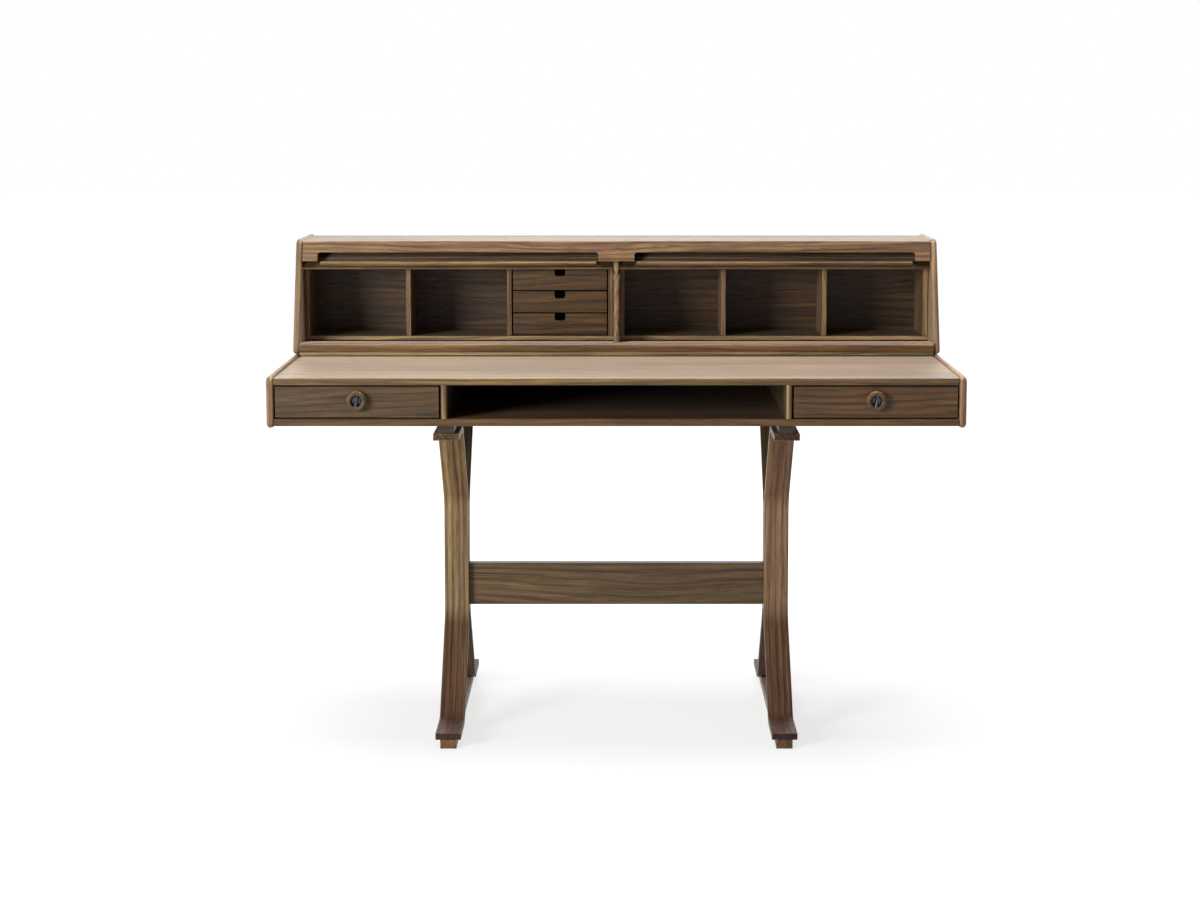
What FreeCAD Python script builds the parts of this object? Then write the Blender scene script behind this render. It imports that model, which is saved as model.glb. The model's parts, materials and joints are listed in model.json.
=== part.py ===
import FreeCAD, Part
import math
import os

# Tambour writing desk in oiled walnut: a shallow case with two drawers stands on two
# trestles of bent laminated legs, and carries a sloped hutch of pigeonholes that two
# tambour shutters close.
#
# Millimetres.  X runs to the desk's right, Y from the case's front edge to the back and
# Z up from the floor.  Everything is drawn with Y = 0 at the case's front edge and is
# moved at export, so that the origin is the middle of the whole desk's footprint.

Vec = FreeCAD.Vector

# ---------------------------------------------------------------- driving dimensions
WIDTH = 1400.0
DEPTH = 700.0
HEIGHT = 1013.5

PANEL = 15.0                      # side panels of the case and the hutch
BULLNOSE = 7.0                    # round of a side panel's edges
PANEL_CORNER = 12.0               # corner radius of a side panel's outline
INNER = WIDTH / 2 - PANEL         # inner face of the side panels
FLAT_LEFT = 0.2                   # half the flat between the two rounds of an edge
CUT_PAST = 10.0                   # how far a cutter runs past what it cuts

# Case
CASE_SIDE_LOW = 663.5
CASE_SIDE_HIGH = 767.0
CASE_FLOOR_LOW = 667.5
CASE_FLOOR_HIGH = 682.0
CASE_TOP_LOW = 750.0
CASE_TOP_HIGH = 764.0
BOARD_FRONT = 2.0                 # boards lie this far behind the side panels' edge
BOARD_REAR = DEPTH - 3.0
CASE_DIVIDER_THICK = 14.0
CASE_DIVIDER_X = 345.0
CASE_BACK_FRONT = 676.0
CASE_BACK_THICK = 12.0
BOARD_EASE = 3.0

# Big drawers
DRAWER_FACE = 3.0
DRAWER_FRONT_THICK = 18.0
DRAWER_SIDE_GAP = 2.75
DRAWER_LEVEL_GAP = 3.0
DRAWER_BOX_LENGTH = 520.0
DRAWER_BOX_LOW = 687.0
DRAWER_BOX_HIGH = 739.0
DRAWER_SIDE_THICK = 12.0
DRAWER_BOTTOM_THICK = 6.0
DRAWER_BOTTOM_LIFT = 4.0
DRAWER_RUNNER_TALL = 10.0
DRAWER_GROOVE_DEEP = 5.0
DRAWER_FRONT_GROOVE = 6.0         # groove behind the front that takes the bottom
DRAWER_FRONT_EASE = 0.8
RUNNER_START = 8.0                # gap between a drawer front and its runners
RUNNER_STOP = 4.0                 # gap between the runners and the case's back
SLIDE_PLAY = 0.5
REBATE_SHARE = 5 / 12             # of a side's thickness, for the bottom's groove
BACK_LOWERED = 3.0                # a drawer's back stands lower than its sides

# Knobs
KNOB_RADIUS = 19.75
KNOB_PROUD = 17.5
KNOB_WAIST = 17.25                # radius against the drawer front
KNOB_BELLY = 4.5                  # how far out the full radius begins
KNOB_RIM_ROUND = 4.0
KNOB_TENON_RADIUS = 6.0
KNOB_TENON_LONG = 12.0
KNOB_Z = 719.5
CUP_RADIUS = 11.5
CUP_DEEP = 10.0
CUP_WALL = 1.0
CUP_SUNK = 2.0                    # the metal cup's rim lies this far inside the wood's
FIN_THICK = 4.6
FIN_PROUD = 0.5                   # beyond the wooden rim
FIN_ROOT = 0.5                    # depth of the fin in the cup's floor
FIN_TILT = 7.0                    # degrees off upright

# Hutch
HUTCH_LOW = 769.0
HUTCH_FRONT_LOW = 398.0           # Y of the side panel's front edge at its foot
HUTCH_FRONT_HIGH = 480.0          # and at its head
HUTCH_TOP_LOW = 996.0
HUTCH_TOP_HIGH = 1009.5
FASCIA_SET_BACK = 4.75            # along Y, behind the side panels' edge
FASCIA_THICK = 14.8               # along Y
FASCIA_LOW = 966.0
FASCIA_EASE = 3.0
NOTCH_HIGH = 985.0
NOTCH_INNER = 39.5
NOTCH_OUTER = 652.0
NOTCH_CORNER = 6.5
NOSING_FRONT = 400.0
NOSING_REAR = 452.0
NOSING_LOW = 773.5
NOSING_HIGH = 793.0
NOSING_ROUND = 8.0
NOSING_UNDER_ROUND = 4.0
BASE_LOW = 767.0
BASE_FRONT = 403.0
BASE_HIGH = 781.0
SHELF_FRONT = 501.0
SHELF_LOW = 789.7
SHELF_HIGH = 799.5
SHELF_EASE = 2.0
CELL_FRONT = 503.0
CELL_HIGH = 950.0
CELL_BACK_FRONT = 660.0
CELL_BACK_THICK = 6.0
CEILING_THICK = 7.5
HUTCH_BACK_FRONT = 688.0
HUTCH_BACK_THICK = 8.0
PARTITION_THICK = 14.0
PARTITION_SET_BACK = 7.9
THIN_BOARD = 10.0                 # dividers and liners of the pigeonholes
CELL_PITCH = 222.0
FIRST_DIVIDER_X = 235.0
LINER_GAP = 1.0
SPACER_WIDE = 16.0                # strips between the hutch's base and its floor
SPACER_ENDS = [20.0, 665.0]       # the first and last strip, besides those under dividers
SPACER_FRONT = 521.0
FOOT_WIDE = 30.0                  # strips between the case's top and the hutch's base
FOOT_PLACES = [-650.0, 0.0, 650.0]
STRIP_INSET = 8.0                 # from the hutch's back and nosing

# Three small drawers beside the partition
SMALL_COUNT = 3
SMALL_LOW = 802.0
SMALL_TALL = 46.4
SMALL_PITCH = 49.2
SMALL_GAP = 3.0
SMALL_FACE = 504.0
SMALL_FRONT_THICK = 12.0
SMALL_TRAY_LENGTH = 134.0
SMALL_SIDE_THICK = 8.0
SMALL_BOTTOM_THICK = 4.0
SMALL_GROOVE_DEEP = 4.0
SMALL_RUNNER_TALL = 6.0
SMALL_RUNNER_SHARE = 0.42         # of a small drawer's height
SMALL_FRONT_EASE = 0.6
TRAY_LIFT = 2.0                   # tray's foot above the front's
TRAY_DROP = 4.0                   # tray's top edge below the front's
TRAY_BOTTOM_LIFT = 4.5
FINGER_WIDE = 23.5
FINGER_DEEP = 15.5
FINGER_CORNER = 5.0

# Tambour shutters: each turns about TRACK_Y, TRACK_Z along a round track
TRACK_Y = 580.0
TRACK_Z = 841.0
SLAT_INNER = 147.0
SLAT_OUTER = 153.5
CANVAS_THICK = 0.8
RAIL_OUTER = 155.5
RAIL_FOOT_Z = 948.6               # underside of the lead rail, shutter open
RAIL_HEAD_ANGLE = 52.5            # degrees above the track's front
TAIL_ANGLE = 130.0
SLAT_COUNT = 13
SLAT_GAP = 0.4
SLAT_CHAMFER = 1.6
TRACK_LOW_ANGLE = -18.6
TRACK_HIGH_ANGLE = 134.5
TRACK_PLAY = 0.6
SIDE_TRACK_DEEP = 5.0
PARTITION_TRACK_DEEP = 4.0
HANDLE_ANGLE = 49.0
HANDLE_DEEP = 7.5
HANDLE_TALL = 8.5
HANDLE_ROUND = 3.2
HANDLE_INNER = 43.0
HANDLE_OUTER = 647.0
CANVAS_INSET = 6.0                # from the ends of the slats
CANVAS_START = 2.0                # degrees above the lead rail's foot

# Trestles
LEG_X = 343.0
LEG_WIDE = 52.0
LEG_THICK = 14.0
PAD_END = 25.0
PAD_KINK = 153.0
STEM_Y = 330.0
HEAD_KINK = 164.0
STEM_LOW_KINK = 214.2
STEM_HIGH_KINK = 465.8
STEM_BEND = 70.0
PAD_BEND = 22.0
STRETCHER_CHAMFER = 1.0
CORE_LOW = 222.0
CORE_HIGH = 458.0
RUNNER_WIDE = 33.0
RUNNER_TALL = 19.5
RUNNER_END = 30.0
HEAD_RAIL_LOW = 649.0
STRETCHER_LOW = 234.0
STRETCHER_HIGH = 324.0

# Fasteners
SHANK_SIDES = 6
HEAD_SIDES = 12
SCREW_RADIUS = 2.5
SCREW_HEAD_RADIUS = 5.0
SCREW_HEAD_TALL = 3.0
SCREW_TIP_COVER = 4.0
FOOT_SCREWS = [88.0]
HEAD_SCREWS = [60.0, 115.0]
BOLT_RADIUS = 4.0
BOLT_HEAD_RADIUS = 7.5
BOLT_HEAD_TALL = 6.0
BOLT_REACH = 45.0                 # how far a bolt runs into the stretcher
BOLT_SPREAD = 44.0

# ---------------------------------------------------------------- worked-out places
MIDDLE = DEPTH / 2
KNOB_FACE = DRAWER_FACE - KNOB_PROUD
FOOTPRINT_MIDDLE = (KNOB_FACE + DEPTH) / 2
SLOPE = (HUTCH_FRONT_HIGH - HUTCH_FRONT_LOW) / (HEIGHT - HUTCH_LOW)
HALF_PARTITION = PARTITION_THICK / 2
DRAWER_IN = CASE_DIVIDER_X + CASE_DIVIDER_THICK / 2
SMALL_OUTER = FIRST_DIVIDER_X - THIN_BOARD / 2
SMALL_INNER = HALF_PARTITION + LINER_GAP + THIN_BOARD
SIDES = {"left": -1, "right": 1}
LEVELS = ["bottom", "middle", "top"]

nodes = {}


# ---------------------------------------------------------------- shape helpers
def block(x, y, z):
    """A box from three (low, high) pairs."""
    return Part.makeBox(
        x[1] - x[0], y[1] - y[0], z[1] - z[0], Vec(x[0], y[0], z[0]))


def span(side, inner, outer):
    """The X pair from inner to outer on the side that side's sign gives."""
    return tuple(sorted((side * inner, side * outer)))


def prism_x(points, x):
    """A (Y, Z) outline drawn out along X."""
    ring = [Vec(x[0], y, z) for y, z in points]
    face = Part.Face(Part.makePolygon(ring + ring[:1]))
    return face.extrude(Vec(x[1] - x[0], 0, 0))


def prism_y(points, y):
    """An (X, Z) outline drawn out along Y."""
    ring = [Vec(px, y[0], pz) for px, pz in points]
    face = Part.Face(Part.makePolygon(ring + ring[:1]))
    return face.extrude(Vec(0, y[1] - y[0], 0))


def rounded(shape, radius, chosen):
    """Fillets the edges for which chosen(box of the edge) holds."""
    edges = [edge for edge in shape.Edges if chosen(edge.BoundBox)]
    return shape.makeFillet(radius, edges)


def mirrored(shape):
    """The shape's twin on the other side of the desk's middle."""
    return shape.mirror(Vec(0, 0, 0), Vec(1, 0, 0))


def handed(shape, side):
    """A shape drawn on the right (+X), or its twin for the left."""
    return shape if side > 0 else mirrored(shape)


def about_middle(shape):
    """The shape's twin in front of or behind the trestle's middle."""
    return shape.mirror(Vec(0, MIDDLE, 0), Vec(0, 1, 0))


def slope_y(z, set_back=0.0):
    """Y of the hutch's sloped front at height z."""
    return HUTCH_FRONT_LOW + SLOPE * (z - HUTCH_LOW) + set_back


def track_point(radius, degrees, x):
    """A point on the shutters' round track, measured up from its front."""
    turn = math.radians(degrees)
    return Vec(x, TRACK_Y - radius * math.cos(turn), TRACK_Z + radius * math.sin(turn))


def track_arc(radius, start, end, x):
    middle = track_point(radius, (start + end) / 2, x)
    return Part.Arc(
        track_point(radius, start, x), middle, track_point(radius, end, x)).toShape()


def track_band(inner, outer, start, end, x):
    """A stretch of ring round the track's centre, drawn out along X."""
    near, far = x
    wire = Part.Wire([
        track_arc(inner, start, end, near),
        Part.makeLine(track_point(inner, end, near), track_point(outer, end, near)),
        track_arc(outer, end, start, near),
        Part.makeLine(track_point(outer, start, near), track_point(inner, start, near)),
    ])
    return Part.Face(wire).extrude(Vec(far - near, 0, 0))


def rounded_slot(x, y, z, corner, low_corners):
    """A box with two of its long corners rounded, at the bottom or at the top."""
    level = z[0] if low_corners else z[1]

    def chosen(box):
        return box.YLength > y[1] - y[0] - 0.1 and abs(box.ZMax - level) < 0.01

    return rounded(block(x, y, z), corner, chosen)


def bullnosed(shape, x):
    """Rounds all edges of both faces of a panel that lies across X."""
    def on_face(box):
        flat = box.XLength < 0.01
        return flat and (abs(box.XMin - x[0]) < 0.01 or abs(box.XMin - x[1]) < 0.01)

    return rounded(shape, BULLNOSE, on_face)


def panel(points, x):
    """A side panel: bullnosed along its edges, then cut to a round-cornered outline."""
    board = prism_x(points, x)
    outline = rounded(board, PANEL_CORNER, lambda box: box.XLength > 1)
    return bullnosed(board, x).common(outline)


# ---------------------------------------------------------------- fasteners
def rod(start, axis, radius, length, sides):
    """A fastener's shank or head as a many-sided bar, which keeps its solid light."""
    across = Vec(axis.y, axis.z, axis.x)
    up = axis.cross(across)
    ring = []
    for i in range(sides):
        turn = 2 * math.pi * i / sides
        out = across * (radius * math.cos(turn)) + up * (radius * math.sin(turn))
        ring.append(start + out)
    return Part.Face(Part.makePolygon(ring + ring[:1])).extrude(axis * length)


def wood_screw(x, y, z, length):
    """A screw driven upwards, its flat head's underside at z."""
    up = Vec(0, 0, 1)
    head = rod(Vec(x, y, z), up, SCREW_HEAD_RADIUS, SCREW_HEAD_TALL, HEAD_SIDES)
    start = Vec(x, y, z + SCREW_HEAD_TALL)
    return head.fuse(rod(start, up, SCREW_RADIUS, length - SCREW_HEAD_TALL, SHANK_SIDES))


def trestle_screws(side):
    """Screws from the floor runner into the feet, and through the heads into the case."""
    x = side * LEG_X
    foot_long = RUNNER_TALL + LEG_THICK - SCREW_TIP_COVER
    head_low = HEAD_RAIL_LOW - LEG_THICK
    head_long = CASE_FLOOR_HIGH - head_low - SCREW_TIP_COVER
    screws = [wood_screw(x, y, 0.0, foot_long) for y in both_ends(FOOT_SCREWS)]
    screws += [wood_screw(x, y, head_low, head_long) for y in both_ends(HEAD_SCREWS)]
    return screws


def both_ends(places):
    """Places near the front, and their twins near the back."""
    return places + [DEPTH - place for place in places]


def stretcher_bolts(side):
    """Two bolts that run through a trestle's core into the stretcher's end."""
    outer = side * (LEG_X + LEG_WIDE / 2)
    inwards = Vec(-side, 0, 0)
    shank_long = LEG_WIDE - BOLT_HEAD_TALL + BOLT_REACH
    centre = (STRETCHER_LOW + STRETCHER_HIGH) / 2
    bolts = []
    for z in (centre - BOLT_SPREAD / 2, centre + BOLT_SPREAD / 2):
        start = Vec(outer, MIDDLE, z)
        head = rod(start, inwards, BOLT_HEAD_RADIUS, BOLT_HEAD_TALL, HEAD_SIDES)
        neck = start + inwards * BOLT_HEAD_TALL
        bolts.append(head.fuse(rod(neck, inwards, BOLT_RADIUS, shank_long, SHANK_SIDES)))
    return bolts


# ---------------------------------------------------------------- case
def make_case():
    for name, side in SIDES.items():
        x = span(side, INNER, WIDTH / 2)
        outline = [
            (0, CASE_SIDE_LOW), (DEPTH, CASE_SIDE_LOW),
            (DEPTH, CASE_SIDE_HIGH), (0, CASE_SIDE_HIGH)]
        nodes[f"case_side_{name}"] = panel(outline, x)

        half = CASE_DIVIDER_THICK / 2
        upright = block(
            (side * CASE_DIVIDER_X - half, side * CASE_DIVIDER_X + half),
            (BOARD_FRONT, CASE_BACK_FRONT), (CASE_FLOOR_HIGH, CASE_TOP_LOW))
        nodes[f"case_divider_{name}"] = rounded(
            upright, half - FLAT_LEFT,
            lambda box: box.ZLength > 1 and box.YMax < BOARD_FRONT + 0.1)

    across = (-INNER, INNER)

    def front_edge(box):
        return box.XLength > WIDTH / 2 and box.YMax < BOARD_FRONT + 0.1

    top = block(across, (BOARD_FRONT, BOARD_REAR), (CASE_TOP_LOW, CASE_TOP_HIGH))
    nodes["case_top"] = rounded(top, BOARD_EASE, front_edge)
    floor = block(across, (BOARD_FRONT, BOARD_REAR), (CASE_FLOOR_LOW, CASE_FLOOR_HIGH))
    floor = rounded(floor, BOARD_EASE, front_edge)
    for side in SIDES.values():
        floor = floor.cut(Part.makeCompound(trestle_screws(side)))
    nodes["case_bottom"] = floor
    back_y = (CASE_BACK_FRONT, CASE_BACK_FRONT + CASE_BACK_THICK)
    nodes["case_back"] = block(across, back_y, (CASE_FLOOR_HIGH, CASE_TOP_LOW))


def make_runners():
    """Hardwood strips that the drawers' grooved sides slide on."""
    strips = []
    big_middle = (DRAWER_BOX_LOW + DRAWER_BOX_HIGH) / 2
    big_z = (big_middle - DRAWER_RUNNER_TALL / 2, big_middle + DRAWER_RUNNER_TALL / 2)
    proud = DRAWER_SIDE_GAP + DRAWER_GROOVE_DEEP - SLIDE_PLAY
    big_y = (DRAWER_FACE + DRAWER_FRONT_THICK + RUNNER_START, CASE_BACK_FRONT - RUNNER_STOP)
    for side in SIDES.values():
        strips.append(block(span(side, INNER - proud, INNER), big_y, big_z))
        strips.append(block(span(side, DRAWER_IN, DRAWER_IN + proud), big_y, big_z))
    small_proud = SMALL_GAP + SMALL_GROOVE_DEEP - SLIDE_PLAY
    small_y = (SMALL_FACE + SMALL_FRONT_THICK + RUNNER_START, CELL_BACK_FRONT)
    for level in range(SMALL_COUNT):
        middle = small_middle(level)
        z = (middle - SMALL_RUNNER_TALL / 2, middle + SMALL_RUNNER_TALL / 2)
        strips.append(block((-SMALL_OUTER, -SMALL_OUTER + small_proud), small_y, z))
        strips.append(block((-SMALL_INNER - small_proud, -SMALL_INNER), small_y, z))
    nodes["drawer_runners"] = Part.makeCompound(strips)


# ---------------------------------------------------------------- drawers
def small_middle(level):
    """Height of a small drawer's runners."""
    return SMALL_LOW + level * SMALL_PITCH + SMALL_TALL * SMALL_RUNNER_SHARE


def drawer_box(x, y, z, runner_z, thick, groove_deep, bottom_thick, bottom_z):
    """Two grooved sides, a back and a bottom: four boards behind a drawer front."""
    low, high = runner_z
    rebate = thick * REBATE_SHARE
    top_of_bottom = bottom_z + bottom_thick
    outline = [
        (0, z[0]), (thick, z[0]), (thick, bottom_z), (thick - rebate, bottom_z),
        (thick - rebate, top_of_bottom), (thick, top_of_bottom), (thick, z[1]),
        (0, z[1]), (0, high), (groove_deep, high), (groove_deep, low), (0, low)]
    left = prism_y([(x[0] + px, pz) for px, pz in outline], y)
    right = prism_y([(x[1] - px, pz) for px, pz in outline], y)
    inside = (x[0] + thick, x[1] - thick)
    back = block(inside, (y[1] - thick, y[1]), (top_of_bottom, z[1] - BACK_LOWERED))
    bottom_x = (inside[0] - rebate, inside[1] + rebate)
    bottom = block(bottom_x, y, (bottom_z, top_of_bottom))
    return Part.makeCompound([left, right, back, bottom])


def knob_profile():
    """Half-section of the turned knob: (radius, distance proud of the drawer)."""
    rim = KNOB_PROUD - FIN_PROUD
    return [
        (0, 0), (KNOB_WAIST, 0), (KNOB_RADIUS, KNOB_BELLY),
        (KNOB_RADIUS, rim - KNOB_RIM_ROUND), (KNOB_RADIUS - KNOB_RIM_ROUND, rim),
        (CUP_RADIUS, rim), (CUP_RADIUS, rim - CUP_DEEP), (0, rim - CUP_DEEP)]


def cup_profile():
    """Half-section of the metal cup that lines the knob's hollow."""
    rim = KNOB_PROUD - FIN_PROUD
    floor = rim - CUP_DEEP
    inner = CUP_RADIUS - CUP_WALL
    return [
        (0, floor), (CUP_RADIUS, floor), (CUP_RADIUS, rim - CUP_SUNK),
        (inner, rim - CUP_SUNK), (inner, floor + CUP_WALL), (0, floor + CUP_WALL)]


def turned(profile, x, z):
    """Revolves a half-section about an axis that comes out of the drawer's face."""
    ring = [Vec(x + radius, DRAWER_FACE - proud, z) for radius, proud in profile]
    face = Part.Face(Part.makePolygon(ring + ring[:1]))
    return face.revolve(Vec(x, 0, z), Vec(0, 1, 0), 360)


def make_knob(name, x):
    """A turned knob on a tenon, with a metal cup and fin in its hollow face."""
    into_front = Vec(0, 1, 0)
    tenon = rod(
        Vec(x, DRAWER_FACE, KNOB_Z), into_front, KNOB_TENON_RADIUS, KNOB_TENON_LONG, HEAD_SIDES)
    knob = turned(knob_profile(), x, KNOB_Z).fuse(tenon)
    floor = DRAWER_FACE - (KNOB_PROUD - FIN_PROUD - CUP_DEEP + CUP_WALL)
    fin = block(
        (x - FIN_THICK / 2, x + FIN_THICK / 2), (KNOB_FACE, floor + FIN_ROOT),
        (KNOB_Z - CUP_RADIUS, KNOB_Z + CUP_RADIUS))
    fin = rounded(
        fin, FIN_THICK / 2 - FLAT_LEFT,
        lambda box: box.ZLength > 1 and box.YMax < KNOB_FACE + 0.1)
    hollow = Part.makeCylinder(
        CUP_RADIUS - CUP_WALL / 2, 2 * KNOB_PROUD, Vec(x, KNOB_FACE, KNOB_Z), into_front)
    fin = fin.common(hollow)
    fin.rotate(Vec(x, 0, KNOB_Z), into_front, FIN_TILT)
    cup = turned(cup_profile(), x, KNOB_Z)
    nodes[f"drawer_{name}_knob"] = knob
    nodes[f"drawer_{name}_pull"] = cup.fuse(fin).removeSplitter()
    return tenon


def make_big_drawers():
    """One drawer each side of the open middle, with a turned knob."""
    for name, side in SIDES.items():
        x = span(side, DRAWER_IN + DRAWER_SIDE_GAP, INNER - DRAWER_SIDE_GAP)
        z = (CASE_FLOOR_HIGH + DRAWER_LEVEL_GAP, CASE_TOP_LOW - DRAWER_LEVEL_GAP)
        rear = DRAWER_FACE + DRAWER_FRONT_THICK
        tenon = make_knob(name, (x[0] + x[1]) / 2)
        front = block(x, (DRAWER_FACE, rear), z)
        front = rounded(
            front, DRAWER_FRONT_EASE, lambda box: box.YMax < DRAWER_FACE + 0.1)
        bottom_z = DRAWER_BOX_LOW + DRAWER_BOTTOM_LIFT
        groove_x = (x[0] + DRAWER_SIDE_THICK, x[1] - DRAWER_SIDE_THICK)
        groove = block(
            groove_x, (rear - DRAWER_FRONT_GROOVE, rear),
            (bottom_z, bottom_z + DRAWER_BOTTOM_THICK))
        nodes[f"drawer_{name}_front"] = front.cut(groove).cut(tenon)

        middle = (DRAWER_BOX_LOW + DRAWER_BOX_HIGH) / 2
        reach = DRAWER_RUNNER_TALL / 2 + SLIDE_PLAY
        nodes[f"drawer_{name}_box"] = drawer_box(
            x, (rear, rear + DRAWER_BOX_LENGTH), (DRAWER_BOX_LOW, DRAWER_BOX_HIGH),
            (middle - reach, middle + reach), DRAWER_SIDE_THICK, DRAWER_GROOVE_DEEP,
            DRAWER_BOTTOM_THICK, bottom_z)


def make_small_drawers():
    """Three small drawers with a finger notch each, stacked beside the partition."""
    x = (-SMALL_OUTER + SMALL_GAP, -SMALL_INNER - SMALL_GAP)
    centre = (x[0] + x[1]) / 2
    rear = SMALL_FACE + SMALL_FRONT_THICK
    for level, name in enumerate(LEVELS):
        low = SMALL_LOW + level * SMALL_PITCH
        high = low + SMALL_TALL
        front = block(x, (SMALL_FACE, rear), (low, high))
        front = rounded(front, SMALL_FRONT_EASE, lambda box: box.YMax < SMALL_FACE + 0.1)
        notch = rounded_slot(
            (centre - FINGER_WIDE / 2, centre + FINGER_WIDE / 2),
            (SMALL_FACE - CUT_PAST, rear + CUT_PAST),
            (high - FINGER_DEEP, high + CUT_PAST), FINGER_CORNER, True)
        nodes[f"small_drawer_{name}_front"] = front.cut(notch)
        middle = small_middle(level)
        reach = SMALL_RUNNER_TALL / 2 + SLIDE_PLAY
        nodes[f"small_drawer_{name}_tray"] = drawer_box(
            x, (rear, rear + SMALL_TRAY_LENGTH), (low + TRAY_LIFT, high - TRAY_DROP),
            (middle - reach, middle + reach), SMALL_SIDE_THICK, SMALL_GROOVE_DEEP,
            SMALL_BOTTOM_THICK, low + TRAY_BOTTOM_LIFT)


# ---------------------------------------------------------------- hutch
def track_groove(x):
    """The round groove that a shutter's ends run in."""
    return track_band(
        SLAT_INNER - TRACK_PLAY, SLAT_OUTER + TRACK_PLAY,
        TRACK_LOW_ANGLE, TRACK_HIGH_ANGLE, x)


def make_hutch_shell():
    for name, side in SIDES.items():
        x = span(side, INNER, WIDTH / 2)
        outline = [
            (HUTCH_FRONT_LOW, HUTCH_LOW), (DEPTH, HUTCH_LOW),
            (DEPTH, HEIGHT), (HUTCH_FRONT_HIGH, HEIGHT)]
        groove = track_groove(span(side, INNER - CUT_PAST, INNER + SIDE_TRACK_DEEP))
        nodes[f"hutch_side_{name}"] = panel(outline, x).cut(groove)

    across = (-INNER, INNER)
    rear_of_fascia = FASCIA_SET_BACK + FASCIA_THICK
    top = [
        (slope_y(HUTCH_TOP_LOW, rear_of_fascia), HUTCH_TOP_LOW),
        (BOARD_REAR, HUTCH_TOP_LOW), (BOARD_REAR, HUTCH_TOP_HIGH),
        (slope_y(HUTCH_TOP_HIGH, rear_of_fascia), HUTCH_TOP_HIGH)]
    nodes["hutch_top"] = prism_x(top, across)

    fascia = prism_x([
        (slope_y(FASCIA_LOW, FASCIA_SET_BACK), FASCIA_LOW),
        (slope_y(FASCIA_LOW, rear_of_fascia), FASCIA_LOW),
        (slope_y(HUTCH_TOP_HIGH, rear_of_fascia), HUTCH_TOP_HIGH),
        (slope_y(HUTCH_TOP_HIGH, FASCIA_SET_BACK), HUTCH_TOP_HIGH)], across)
    front_top = slope_y(HUTCH_TOP_HIGH, FASCIA_SET_BACK)
    fascia = rounded(
        fascia, FASCIA_EASE,
        lambda box: box.XLength > 1 and box.ZMin > HUTCH_TOP_HIGH - 0.1
        and box.YMax < front_top + 0.1)
    for side in SIDES.values():
        notch = rounded_slot(
            span(side, NOTCH_INNER, NOTCH_OUTER),
            (slope_y(FASCIA_LOW) - CUT_PAST, slope_y(NOTCH_HIGH, rear_of_fascia) + CUT_PAST),
            (FASCIA_LOW - CUT_PAST, NOTCH_HIGH), NOTCH_CORNER, False)
        fascia = fascia.cut(notch)
    nodes["hutch_fascia"] = fascia

    nosing = block(across, (NOSING_FRONT, NOSING_REAR), (NOSING_LOW, NOSING_HIGH))
    nosing = rounded(
        nosing, NOSING_ROUND,
        lambda box: box.XLength > 1 and box.YMax < NOSING_FRONT + 0.1
        and box.ZMin > NOSING_HIGH - 0.1)
    nodes["hutch_nosing"] = rounded(
        nosing, NOSING_UNDER_ROUND,
        lambda box: box.XLength > 1 and box.YMax < NOSING_FRONT + 0.1
        and box.ZMax < NOSING_LOW + 0.1)

    nodes["hutch_base"] = prism_x([
        (BASE_FRONT, BASE_LOW), (HUTCH_BACK_FRONT, BASE_LOW),
        (HUTCH_BACK_FRONT, BASE_HIGH), (NOSING_REAR, BASE_HIGH),
        (NOSING_REAR, NOSING_LOW), (BASE_FRONT, NOSING_LOW)], across)
    back_y = (HUTCH_BACK_FRONT, HUTCH_BACK_FRONT + HUTCH_BACK_THICK)
    nodes["hutch_back"] = block(across, back_y, (BASE_LOW, HUTCH_TOP_LOW))


def make_partition():
    """The middle upright: scribed round the nosing and the fascia, front half-round."""
    rear_of_fascia = FASCIA_SET_BACK + FASCIA_THICK
    x = (-HALF_PARTITION, HALF_PARTITION)
    outline = [
        (NOSING_REAR, BASE_HIGH), (HUTCH_BACK_FRONT, BASE_HIGH),
        (HUTCH_BACK_FRONT, HUTCH_TOP_LOW),
        (slope_y(HUTCH_TOP_LOW, rear_of_fascia), HUTCH_TOP_LOW),
        (slope_y(FASCIA_LOW, rear_of_fascia), FASCIA_LOW),
        (slope_y(FASCIA_LOW, PARTITION_SET_BACK), FASCIA_LOW),
        (slope_y(NOSING_HIGH, PARTITION_SET_BACK), NOSING_HIGH),
        (NOSING_REAR, NOSING_HIGH)]
    upright = prism_x(outline, x)
    face_low = slope_y(NOSING_HIGH, PARTITION_SET_BACK)

    def sloped_front(box):
        return (box.XLength < 0.01 and box.ZLength > 100
                and abs(box.YMin - face_low) < 0.1)

    upright = rounded(upright, HALF_PARTITION - FLAT_LEFT, sloped_front)
    floor_x = HALF_PARTITION - PARTITION_TRACK_DEEP
    for side in SIDES.values():
        upright = upright.cut(track_groove(span(side, floor_x, HALF_PARTITION + CUT_PAST)))
    nodes["hutch_partition"] = upright


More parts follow.
